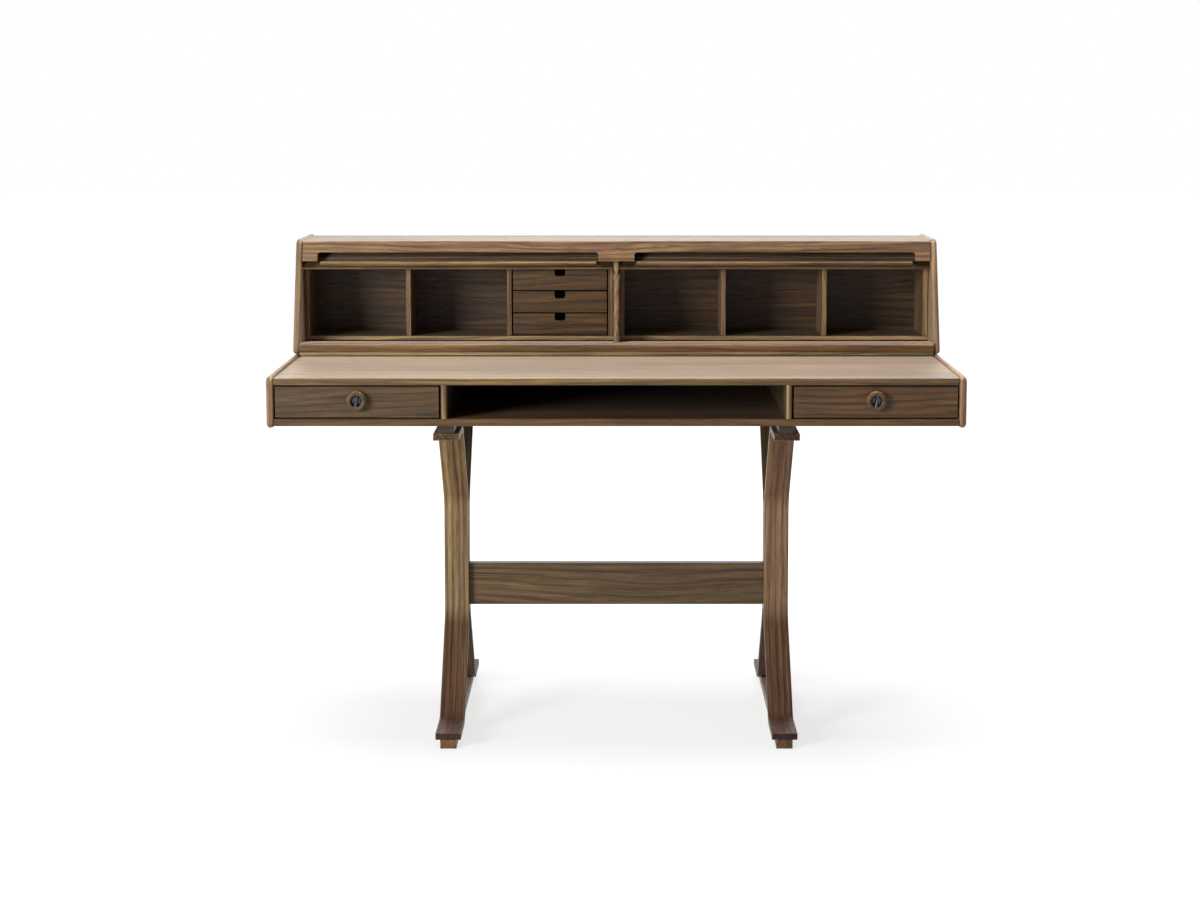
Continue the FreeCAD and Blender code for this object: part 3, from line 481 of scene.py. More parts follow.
@dataclass(frozen=True)
class Canvas:
    """Undyed cotton duck glued behind the slats: matt, with a plain weave."""

    name: str = "cotton_duck"
    thread: float = 1.6          # mm between threads, drawn at twice the real spacing to show

    def build(self) -> bpy.types.Material:
        """Make the material.

        Returns:
            The finished material.
        """
        material, tree = blank_material(self.name)
        place = add(tree, "TexCoord").outputs["Object"]
        warp, weft = (
            add(tree, "TexWave", {"bands_direction": way, "Scale": wave_scale(self.thread),
                                  "Vector": place}).outputs["Fac"] for way in "XZ")
        weave = add(tree, "Math", {"operation": "MAXIMUM", 0: warp, 1: weft})
        ramp = add(tree, "ValToRGB", {
            "stops": ((0.0, linear("#5f564a")), (1.0, linear("#8f8573"))), "Fac": weave})
        bump = add(tree, "Bump", {"Strength": 0.5, "Distance": 0.3 * MM, "Height": weave})
        shader = add(tree, "BsdfPrincipled", {"Roughness": 0.92, "Sheen Weight": 0.2,
                                              "Base Color": ramp, "Normal": bump})
        add(tree, "OutputMaterial", {"Surface": shader})
        return material


@dataclass(frozen=True)
class Steel:
    """Steel with fine turned or brushed lines that spread its highlights.

    Attributes:
        name: Material name.
        dark: Colour in the lines.
        light: Colour between them.
        roughness: Spread of the highlights.
        line: Spacing of the lines in millimetres.
    """

    name: str
    dark: str
    light: str
    roughness: float
    line: float = 0.35

    LONGER = 30                  # times as long as wide

    def build(self) -> bpy.types.Material:
        """Make the material.

        Returns:
            The finished material.
        """
        material, tree = blank_material(self.name)
        across = 1 / (self.line * MM)
        laid = add(tree, "Mapping", {"Scale": (across, across, across / self.LONGER),
                                     "Vector": add(tree, "TexCoord").outputs["Object"]})
        lines = add(tree, "TexNoise", {"Scale": 1.0, "Detail": 2.0, "Vector": laid})
        ramp = add(tree, "ValToRGB", {
            "stops": ((0.3, linear(self.dark)), (0.7, linear(self.light))), "Fac": lines})
        rough = add(tree, "MapRange", {"Value": lines, "To Min": self.roughness - 0.05,
                                       "To Max": self.roughness + 0.07})
        bump = add(tree, "Bump", {"Strength": 0.15, "Distance": 0.05 * MM, "Height": lines})
        shader = add(tree, "BsdfPrincipled", {"Metallic": 1.0, "Base Color": ramp,
                                              "Roughness": rough, "Normal": bump})
        add(tree, "OutputMaterial", {"Surface": shader})
        return material


class FinishBook:
    """All finishes, made once and handed out by name."""

    _materials: ClassVar[dict[str, bpy.types.Material]] = {}

    @classmethod
    def fill(cls) -> None:
        """Make every finish."""
        x, y, z = Grain.ALONG_X, Grain.ALONG_Y, Grain.ALONG_Z
        finishes = [
            # black walnut, planed, sanded and oiled; each board shows the cut that it was given
            # rubbed the most: straight mid-brown streaks under a pale sheen
            Walnut("walnut_writing_top", x, Tone.PALE, 3, 0.2, veil=0.5, stain="#dfd9c6"),
            # seen nearly edge-on: a dim thin line with hardly any sheen
            Walnut("walnut_hutch_top", x, Tone.PALE, 5, 0.2, veil=0.04, stain="#c0b8a2"),
            # plain-sawn board, picked for show: the clearest bands and lines of the desk
            Walnut("walnut_fascia", x, Tone.PALE, 7, 0.35, stain="#fdf6fb"),
            # planed strip: close straight grain, pale where it turns away
            Walnut("walnut_nosing", x, Tone.WARM, 9, 0.25, veil=0.5, stain="#e0ded4"),
            # floor of the open shelf: deep warm brown without a sheen
            Walnut("walnut_case_floor", x, Tone.WARM, 11, 0.25, veil=0.02, stain="#c3bcb4"),
            # sawn near the sapwood: a light strip in the shade of the hutch
            Walnut("walnut_base_strip", x, Tone.LIGHT, 12, 0.25, stain="#edf9ff"),
            # quartersawn panels with a lipping on the front edge: calm lines that run up the edge
            Walnut("walnut_case_side", y, Tone.LIGHT, 13, 0.3, veil=0.1, stain="#e8e3da",
                   ends=1.0, calm=0.35, lipping=0.0),
            Walnut("walnut_hutch_side", z, Tone.LIGHT, 15, 0.3, veil=0.3, stain="#eaeffa",
                   calm=0.35, lipping=18.9),
            # veneered dividers with a solid lipping: full colour on the front edges, painted shade on the faces,
            # as inside the openings
            Walnut("walnut_upright", z, Tone.LIGHT, 17, 0.2, stain="#f4f4f6", faces=0.58),
            Walnut("walnut_cheek", z, Tone.FAIR, 18, 0.2, faces=0.22),
            Walnut("walnut_partition", z, Tone.PALE, 19, 0.25, faces=0.6),
            Walnut("walnut_inside", x, Tone.FAIR, 21, 0.35, veil=0.02, stain="#edf3f9",
                   faces=0.4),
            # thin veneered back panels, matt; their dark colour is painted shade, so that the openings look deep
            Walnut("walnut_back_painted_shade", x, Tone.DEEP, 23, 0.4, veil=0.0),
            # crown-cut drawer fronts: wavy dark bands on deep brown, with the oil rubbed flat
            Walnut("walnut_drawer_left", x, Tone.BROWN, 25, 0.5, veil=0.02, stain="#bdb8a8"),
            Walnut("walnut_drawer_right", x, Tone.BROWN, 28, 0.5, veil=0.02, stain="#d0c5af"),
            Walnut("walnut_small_drawer", x, Tone.BROWN, 31, 0.45, veil=0.02, stain="#c8bfa2"),
            # plain straight stock for the boxes: quiet warm brown
            Walnut("walnut_drawer_side", y, Tone.WARM, 33, 0.2, veil=0.02),
            # ripped from one board and kept in order: the streaks run on from slat to slat
            # the slats' cool bluish stain is painted shade, as they sit in the shade of the fascia
            Walnut("walnut_slat", x, Tone.PALE, 35, 0.3, veil=0.08, stain="#d2dcf6"),
            # matt rail under the lighter handle, which is hardly shinier; its dark colour is partly painted shade
            # under the handle
            Walnut("walnut_rail_painted_shade", x, Tone.PALE, 36, 0.3, veil=0.0, stain="#8c867e", gloss=0.12),
            Walnut("walnut_batten", x, Tone.PALE, 37, 0.2, 0.5, 0.02, stain="#e2d8cc"),
            # veneers bent and glued in a mould: the grain follows the bend, the edges show thin layers with dark
            # glue lines, and the sawn ends are nearly black, partly from end grain and partly as painted shade;
            # painted shade on the foot and the head leaves the stem the most lit
            Walnut("walnut_bent_left", y, Tone.FAIR, 39, 0.1, veil=0.02, stain="#e6f1ff",
                   ends=0.42, bent=True, calm=0.4, gloss=0.25, leans=("#a6949e", "#f9ede2")),
            Walnut("walnut_bent_right", y, Tone.LIGHT, 44, 0.1, veil=0.02, stain="#e6e4ff",
                   ends=0.3, bent=True, calm=0.4, gloss=0.25, leans=("#cbbbc2", "#e3dad1")),
            # the rear legs' darker, cooler stain is painted shade: they stand in the shade of the front legs and
            # the case
            Walnut("walnut_bent_rear_painted_shade", y, Tone.PALE, 41, 0.1, veil=0.0, stain="#b4b8cc",
                   ends=0.3, bent=True, calm=0.4, gloss=0.25),
            # solid block, rails and stretcher, planed only: plain brown, the ends a bit darker
            Walnut("walnut_core", z, Tone.BROWN, 47, 0.2),
            Walnut("walnut_runner", y, Tone.WARM, 49, 0.2, veil=0.3, ends=0.85),
            # the head rail is darker than the runners: painted shade, as it sits in the shade under the case
            Walnut("walnut_head_rail_painted_shade", y, Tone.BROWN, 50, 0.2, veil=0.02, stain="#c0b8b4"),
            Walnut("walnut_stretcher", x, Tone.BROWN, 51, 0.4, veil=0.03, stain="#d8d6cc"),
            # turned from a straight blank: even warm brown with a satin gloss on the rim
            Walnut("walnut_turned", y, Tone.WARM, 53, 0.2, 0.45, 0.02, stain="#e4e4cc"),
            # undyed cotton duck: grey-brown plain weave, quite matt
            Canvas(),
            # spun and burnished steel: cool grey with one broad dull highlight
            Steel("burnished_cup", "#454951", "#5f646d", 0.42),
            # steel bar, sawn and polished: a warmer grey that catches the lamp on its edge
            Steel("polished_fin", "#4c4946", "#746f69", 0.34),
            # steel screws with a black oxide: almost black, with a dull shine
            Steel("blackened_screw", "#242424", "#3a3a3a", 0.42),
        ]
        for finish in finishes:
            cls._materials[finish.name] = finish.build()
        log.info("%d finishes made", len(cls._materials))

    @classmethod
    def dress(cls, piece: Piece, name: str) -> None:
        """Give a piece the finish of that name all over."""
        piece.data.materials.clear()
        piece.data.materials.append(cls._materials[name])


# ------------------------------------------------------------------ bench
class Bench:
    """Plain bench work: adding, picking, easing and signing off one piece at a time."""

    SMOOTH_BELOW = 38.0          # degrees between faces that are shaded as one curve

    @staticmethod
    def clear() -> None:
        """Leave edit mode and put everything down."""
        if bpy.context.mode != "OBJECT":
            bpy.ops.object.mode_set(mode="OBJECT")
        bpy.ops.object.select_all(action="DESELECT")

    @staticmethod
    def take(piece: Piece) -> None:
        """Make one piece the only selected and active one.

        Args:
            piece: The piece to work on.
        """
        Bench.clear()
        piece.select_set(True)
        bpy.context.view_layer.objects.active = piece

    @staticmethod
    def settle(name: str) -> Piece:
        """Name the primitive that was just added and put its place into its mesh.

        Args:
            name: The piece's name.

        Returns:
            The piece.
        """
        piece = bpy.context.active_object
        piece.name = name
        bpy.ops.object.transform_apply(location=True, rotation=True, scale=True)
        return piece

    @staticmethod
    def block(name: str, low: Vector, high: Vector) -> Piece:
        """Add a box between two corners, ready to be shaped.

        Args:
            name: The piece's name.
            low: Lowest corner.
            high: Highest corner.

        Returns:
            The box.
        """
        Bench.clear()
        bpy.ops.mesh.primitive_cube_add(size=1, location=(low + high) / 2, scale=high - low)
        return Bench.settle(name)

    @staticmethod
    def open_faces() -> None:
        """Go into edit mode with all of the active piece's faces selected."""
        bpy.ops.object.mode_set(mode="EDIT")
        bpy.ops.mesh.select_mode(type="FACE")
        bpy.ops.mesh.select_all(action="SELECT")

    @staticmethod
    def pick(piece: Piece, kind: str, test: Callable[[list[Vector]], bool]) -> None:
        """Select the edges or faces that pass a test, in edit mode.

        Args:
            piece: The piece, which is taken into edit mode.
            kind: "EDGE" or "FACE".
            test: Takes the corners' places and says whether to select.
        """
        if bpy.context.mode != "EDIT_MESH":
            Bench.take(piece)
            bpy.ops.object.mode_set(mode="EDIT")
        bpy.ops.mesh.select_mode(type=kind)
        bpy.ops.mesh.select_all(action="DESELECT")
        mesh = bmesh.from_edit_mesh(piece.data)
        for item in mesh.edges if kind == "EDGE" else mesh.faces:
            if test([vertex.co for vertex in item.verts]):
                item.select_set(True)
        mesh.select_flush_mode()
        bmesh.update_edit_mesh(piece.data)

    @staticmethod
    def close(piece: Piece) -> None:
        """Merge doubles and point all faces outwards.

        Args:
            piece: The piece to close.
        """
        Bench.take(piece)
        bpy.ops.object.mode_set(mode="EDIT")
        bpy.ops.mesh.select_all(action="SELECT")
        bpy.ops.mesh.remove_doubles(threshold=HAIR)
        bpy.ops.mesh.normals_make_consistent(inside=False)
        bpy.ops.object.mode_set(mode="OBJECT")

    @staticmethod
    def smooth(piece: Piece) -> None:
        """Close a piece and smooth all but its sharp edges.

        Args:
            piece: The piece to smooth.
        """
        Bench.close(piece)
        Bench.take(piece)
        bpy.ops.object.shade_smooth_by_angle(angle=math.radians(Bench.SMOOTH_BELOW))

    @staticmethod
    def ease(piece: Piece, width: float, segments: int = 2, angle: float = 35.0) -> None:
        """Round all sharp edges and keep the flats flat.

        Args:
            piece: The piece.
            width: Size of the round in millimetres.
            segments: Steps across the round.
            angle: Smallest angle in degrees that counts as sharp.
        """
        Bench.take(piece)
        bpy.ops.object.shade_smooth()
        bevel = piece.modifiers.new("eased edges", "BEVEL")
        bevel.width = width * MM
        bevel.segments = segments
        bevel.limit_method = "ANGLE"
        bevel.angle_limit = math.radians(angle)
        bevel.harden_normals = True
        bpy.ops.object.modifier_apply(modifier=bevel.name)

    @staticmethod
    def sign_off(piece: Piece, finish: str, home: str, nodes: tuple[str, ...] = ()) -> None:
        """Dress a finished piece and hand it to the body that it moves with.

        Args:
            piece: The finished piece.
            finish: Name of its finish.
            home: The frame's node that gives the body that it moves with.
            nodes: The frame's nodes that it stands for.
        """
        FinishBook.dress(piece, finish)
        Bench.clear()
        record = frame["record"]
        body = next(name for name, members in record["behaviour"]["bodies"].items()
                    if home in members)
        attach(piece, body)
        if nodes:
            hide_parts(*nodes)
        log.info("%s rides on %s", piece.name, body)


# ------------------------------------------------------------------ boards
@dataclass(frozen=True)
class EasedBoards:
    """Boards copied from the frame, their loose triangles joined and their edges eased.

    Attributes:
        finish: Name of their finish.
        nodes: The frame's nodes.
        ease: Round of the edges in millimetres.
        nose: Larger round of the upright front edges, or 0 for none.
    """

    finish: str
    nodes: tuple[str, ...]
    ease: float = 0.8
    nose: float = 0.0

    FLAT_WITHIN = 1.0            # degrees between triangles that are one flat face

    def build(self) -> None:
        """Make the boards."""
        for node in self.nodes:
            piece = self._copy(node)
            if self.nose:
                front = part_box(node)[0].y + NEAR
                Bench.pick(piece, "EDGE", lambda ends, front=front: all(
                    end.y < front for end in ends) and abs(ends[0].z - ends[1].z) > self.nose * MM)
                bpy.ops.mesh.bevel(offset=self.nose * MM, segments=6, affect="EDGES")
                bpy.ops.object.mode_set(mode="OBJECT")
            Bench.ease(piece, self.ease)
            Bench.sign_off(piece, self.finish, node, (node,))

    @staticmethod
    def _copy(node: str) -> Piece:
        """Copy a node's mesh and join its triangles into flat faces.

        Args:
            node: The frame's node.

        Returns:
            The copy.
        """
        mesh = frame["nodes"][node].data.copy()
        piece = bpy.data.objects.new("eased_" + node, mesh)
        bpy.context.scene.collection.objects.link(piece)
        Bench.take(piece)
        bpy.ops.mesh.customdata_custom_splitnormals_clear()
        bpy.ops.object.mode_set(mode="EDIT")
        bpy.ops.mesh.select_all(action="SELECT")
        bpy.ops.mesh.remove_doubles(threshold=HAIR / 2)
        bpy.ops.mesh.dissolve_limited(angle_limit=math.radians(EasedBoards.FLAT_WITHIN))
        bpy.ops.object.mode_set(mode="OBJECT")
        return piece


@dataclass(frozen=True)
class Track:
    """The round groove of the shutters, whose middle is the shutters' hinge.

    Attributes:
        inner: Inner radius in millimetres.
        outer: Outer radius in millimetres.
        deep: Depth into the panel in millimetres.
        start: Where the groove starts, in degrees above straight ahead.
        finish: Where it ends.
    """

    inner: float = 146.4
    outer: float = 154.1
    deep: float = 5.0
    start: float = -22.0
    finish: float = 134.5

    def plough(self, panel: Piece, node: str) -> None:
        """Cut the groove into the inner face of a side panel.

        Args:
            panel: The panel.
            node: The panel's node, whose box gives its inner face.
        """
        low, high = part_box(node)
        cutter = self._ring("track_cutter_" + node, high.x if high.x < 0 else low.x)
        Bench.take(panel)
        cut = panel.modifiers.new("track", "BOOLEAN")
        cut.operation = "DIFFERENCE"
        cut.object = cutter
        cut.solver = "EXACT"
        bpy.ops.object.modifier_apply(modifier=cut.name)
        bpy.data.objects.remove(cutter)

    def _ring(self, name: str, face: float) -> Piece:
        """Spin a ring that reaches into a panel.

        Args:
            name: The cutter's name.
            face: X of the panel's inner face.

        Returns:
            The cutter.
        """
        hinge = next(joint for joint in frame["joints"] if joint["child"] == "tambour_left")
        middle = Vector(hinge["pos_m"])
        ahead = Vector((face, middle.y - (self.inner + self.outer) / 2 * MM, middle.z))
        Bench.clear()
        bpy.ops.mesh.primitive_plane_add(size=1, location=ahead)
        bpy.context.active_object.scale = (
            2 * self.deep * MM, (self.outer - self.inner) * MM, 1)
        ring = Bench.settle(name)
        Bench.open_faces()
        # with no window the turn runs the other way: a positive angle goes up and back
        bpy.ops.transform.rotate(value=math.radians(self.start), orient_axis="X",
                                 orient_type="GLOBAL", center_override=middle)
        bpy.ops.mesh.spin(
            steps=72, angle=math.radians(self.start - self.finish), center=middle, axis=(1, 0, 0))
        bpy.ops.object.mode_set(mode="OBJECT")
        Bench.close(ring)
        return ring


@dataclass(frozen=True)
class SidePanels:
    """Upright end panels with rounded corners and bullnosed edges.

    Attributes:
        node: Start of the node names, before _left and _right.
        finish: Name of their finish.
        corner: Radius of the outline's corners in millimetres.
        bullnose: Round of the edges in millimetres.
        lean: How far the front edge leans back from foot to head, in millimetres.
        track: The shutters' groove, or None where there is none.
    """

    node: str
    finish: str
    corner: float = 12.0
    bullnose: float = 7.0
    lean: float = 0.0
    track: Track | None = None

    def build(self) -> None:
        """Make the left and the right panel."""
        for node in both(self.node + "_{}"):
            piece = self._shape(node)
            if self.track:
                self.track.plough(piece, node)
            Bench.sign_off(piece, self.finish, node, (node,))

    def _shape(self, node: str) -> Piece:
        """Cut the outline, round its corners and then its edges.

        Args:
            node: The frame's node.

        Returns:
            The panel.
        """
        low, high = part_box(node)
        piece = Bench.block("round_edged_" + node, low, high)
        if self.lean:
            Bench.pick(piece, "EDGE", lambda ends: all(
                end.y < low.y + NEAR and end.z > high.z - NEAR for end in ends))
            bpy.ops.transform.translate(value=(0, self.lean * MM, 0))
        Bench.pick(piece, "EDGE", lambda ends: abs(ends[0].x - ends[1].x) > NEAR)
        bpy.ops.mesh.bevel(offset=self.corner * MM, segments=8, affect="EDGES")
        bpy.ops.object.mode_set(mode="OBJECT")
        Bench.ease(piece, self.bullnose, segments=7, angle=60)
        return piece


# ------------------------------------------------------------------ bent legs
@dataclass(frozen=True)
class Run:
    """A straight or bent stretch of a strip's centre line.

    Attributes:
        end: Where it ends.
        centre: Middle of the bend, or None where it is straight.
        turn: Turn of the bend about X in radians.
    """

    end: Vector
    centre: Vector | None = None
    turn: float = 0.0


@dataclass(frozen=True)
class Station:
    """A point on a strip's centre line.

    Attributes:
        at: Its place.
        heading: Unit vector along the strip.
        along: Distance from the toe.
    """

    at: Vector
    heading: Vector
    along: float

    BESIDE = 0.5                 # weight of the whole distance beside the distance along

    def miss(self, point: Vector) -> float:
        """Say how badly the station fits a point: distance along the strip counts most."""
        offset = point - self.at
        return abs(offset.dot(self.heading)) + self.BESIDE * Vector((0, *offset.yz)).length


@dataclass(frozen=True)
class BentLeg:
    """A laminated strip bent from its foot pad up the stem to its head pad.

    Attributes:
        node: The frame's node.
        finish: Name of its finish.
        thick: Thickness in millimetres.
        foot: Length of the foot pad to its kink.
        head: Length of the head pad to its kink.
        stem_low: Height of the stem's lower kink.
        stem_high: Height of its upper kink.
        pad_bend: Radius of the bends at the pads.
        stem_bend: Radius of the bends of the stem.
        ease: Round of its long edges.
    """

    node: str
    finish: str
    thick: float = 14.0
    foot: float = 128.0
    head: float = 139.0
    stem_low: float = 214.2
    stem_high: float = 465.8
    pad_bend: float = 40.0
    stem_bend: float = 70.0
    ease: float = 1.2

    BEND_STEP = 3.0              # degrees
    FEWEST_STEPS = 6
    BEND_STATIONS = 12
    SLIDE = 0.35                 # share of the stem's bend over which the painted shade slides either way

    def build(self) -> None:
        """Make the leg."""
        piece = self._sweep()
        Bench.close(piece)
        Bench.ease(piece, self.ease, segments=3, angle=40)
        self._mark_grain(piece)
        Bench.sign_off(piece, self.finish, self.node, (self.node,))

    def _kinks(self) -> list[Vector]:
        """Place the centre line's corners.

        Returns:
            The corners, from the toe to the end of the head.
        """
        low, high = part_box(self.node)
        half = self.thick * MM / 2
        back = "_back" in self.node
        toe = high.y if back else low.y
        ahead = -MM if back else MM
        stem = (low.y + half) if back else (high.y - half)
        foot_z, head_z = low.z + half, high.z - half
        return [Vector(((low.x + high.x) / 2, y, z)) for y, z in (
            (toe, foot_z), (toe + ahead * self.foot, foot_z),
            (stem, self.stem_low * MM), (stem, self.stem_high * MM),
            (toe + ahead * self.head, head_z), (toe, head_z))]

    def _runs(self) -> list[Run]:
        """Split the centre line into straight runs and bends.

        Returns:
            The runs, from the toe to the end of the head.
        """
        kinks = self._kinks()
        bends = [self.pad_bend, self.stem_bend, self.stem_bend, self.pad_bend]
        runs = []
        for i, bend in enumerate(bends, start=1):
            before = (kinks[i] - kinks[i - 1]).normalized()
            after = (kinks[i + 1] - kinks[i]).normalized()
            turn = math.atan2(before.cross(after).x, before.dot(after))
            radius = bend * MM
            trim = radius * math.tan(abs(turn) / 2)
            inward = (after - before).normalized()
            centre = kinks[i] + inward * (radius / math.cos(turn / 2))
            runs.append(Run(kinks[i] - before * trim))
            runs.append(Run(kinks[i] + after * trim, centre, turn))
        return runs + [Run(kinks[-1])]

    def _sweep(self) -> Piece:
        """Push the strip's section along its centre line.

        Returns:
            The strip, open to be closed.
        """
        low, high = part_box(self.node)
        here = self._kinks()[0]
        Bench.clear()
        bpy.ops.mesh.primitive_plane_add(size=1, location=here, rotation=(math.pi / 2, 0, 0))
        bpy.context.active_object.scale = (high.x - low.x, self.thick * MM, 1)
        piece = Bench.settle("bent_" + self.node)
        Bench.open_faces()
        for run in self._runs():
            if run.centre is None:
                bpy.ops.mesh.extrude_region_move(
                    TRANSFORM_OT_translate={"value": run.end - here})
            else:
                steps = round(math.degrees(abs(run.turn)) / self.BEND_STEP)
                bpy.ops.mesh.spin(steps=max(self.FEWEST_STEPS, steps), angle=-run.turn,
                                  center=run.centre, axis=(1, 0, 0))
            here = run.end
        bpy.ops.object.mode_set(mode="OBJECT")
        return piece

    def _stations(self) -> list[Station]:
        """Walk the centre line.

        Returns:
            The ends of the straight runs and close points in the bends.
        """
        here = self._kinks()[0]
        heading = Vector()
        along = 0.0
        stations = []
        for run in self._runs():
            if run.centre is None:
                heading = (run.end - here).normalized()
                stations.append(Station(here, heading, along))
                along += (run.end - here).length
                stations.append(Station(run.end, heading, along))
            else:
                spoke = here - run.centre
                for step in range(1, self.BEND_STATIONS + 1):
                    part = run.turn * step / self.BEND_STATIONS
                    turned = Matrix.Rotation(part, 3, "X")
                    stations.append(Station(run.centre + turned @ spoke, turned @ heading,
                                            along + abs(part) * spoke.length))
                along += abs(run.turn) * spoke.length
            here = run.end
        return stations

    def _mark_grain(self, piece: Piece) -> None:
        """Write where each point lies across, along and through the strip.

        Args:
            piece: The eased strip.
        """
        stations = self._stations()
        length = stations[-1].along
        attributes = piece.data.attributes
        for name, kind in (
            (STRIP_PLACE, "FLOAT_VECTOR"), (STRIP_END, "FLOAT"), (STRIP_STRETCH, "FLOAT"),
        ):
            attributes.new(name, kind, "POINT")
        for index, vertex in enumerate(piece.data.vertices):
            station = min(stations, key=lambda station: station.miss(vertex.co))
            offset = vertex.co - station.at
            heading = station.heading
            along = station.along + offset.dot(heading)
            through = heading.y * offset.z - heading.z * offset.y
            at_end = along < NEAR / 2 or along > length - NEAR / 2
            attributes[STRIP_PLACE].data[index].vector = (offset.x, along, through)
            attributes[STRIP_END].data[index].value = float(at_end)
            attributes[STRIP_STRETCH].data[index].value = self._stretch(vertex.co.z / MM)

    def _stretch(self, height: float) -> float:
        """Say where a height lies on the strip.

        Args:
            height: Height in millimetres.

        Returns:
            0 on the foot, 0.5 on the stem and 1 on the head, sliding over the stem's bends.
        """
        reach = self.SLIDE * self.stem_bend
        shares = [(height - kink) / (2 * reach) + 0.5 for kink in (self.stem_low, self.stem_high)]
        return sum(min(1.0, max(0.0, share)) for share in shares) / 2


# ------------------------------------------------------------------ knobs
@dataclass(frozen=True)
class Turning:
    """A shape turned on a lathe, whose axis comes straight out of a drawer's face.

    Attributes:
        name: The piece's name.
        profile: Radius and distance out from the drawer's face in millimetres.
        sides: Facets round the axis.
    """

    name: str
    profile: Profile
    sides: int = 72

    def build(self, centre: Vector) -> Piece:
        """Turn the shape.

        Args:
            centre: Where its axis meets the drawer's face.

        Returns:
            The turned piece.
        """
        radius, out = self.profile[0]
        Bench.clear()
        bpy.ops.mesh.primitive_circle_add(
            vertices=self.sides, radius=radius * MM, fill_type="NGON",
            location=centre - Vector((0, out * MM, 0)), rotation=(math.pi / 2, 0, 0))
        piece = Bench.settle(self.name)
        Bench.open_faces()
        for next_radius, next_out in self.profile[1:]:
            bpy.ops.mesh.extrude_region_move(
                TRANSFORM_OT_translate={"value": (0, (out - next_out) * MM, 0)})
            share = next_radius / radius
            bpy.ops.transform.resize(
                value=(share, 1, share), center_override=centre - Vector((0, next_out * MM, 0)))
            radius, out = next_radius, next_out
        bpy.ops.object.mode_set(mode="OBJECT")
        Bench.smooth(piece)
        return piece


def quarter(
    radius: float, out: float, across: float, along: float, start: float, steps: int = 6,
) -> Profile:
    """Points of a quarter round on a turned profile.

    Args:
        radius: Radius of the round's centre.
        out: Distance out of the round's centre.
        across: Half-axis of the round across the lathe's axis.
        along: Half-axis along it.
        start: Angle in degrees where the quarter starts, from straight out sideways.
        steps: Number of steps.

    Returns:
        The points, from start through 90 degrees.
    """
    angles = (math.radians(start + 90 * step / steps) for step in range(steps + 1))
    return tuple((radius + across * math.cos(angle), out + along * math.sin(angle))
                 for angle in angles)


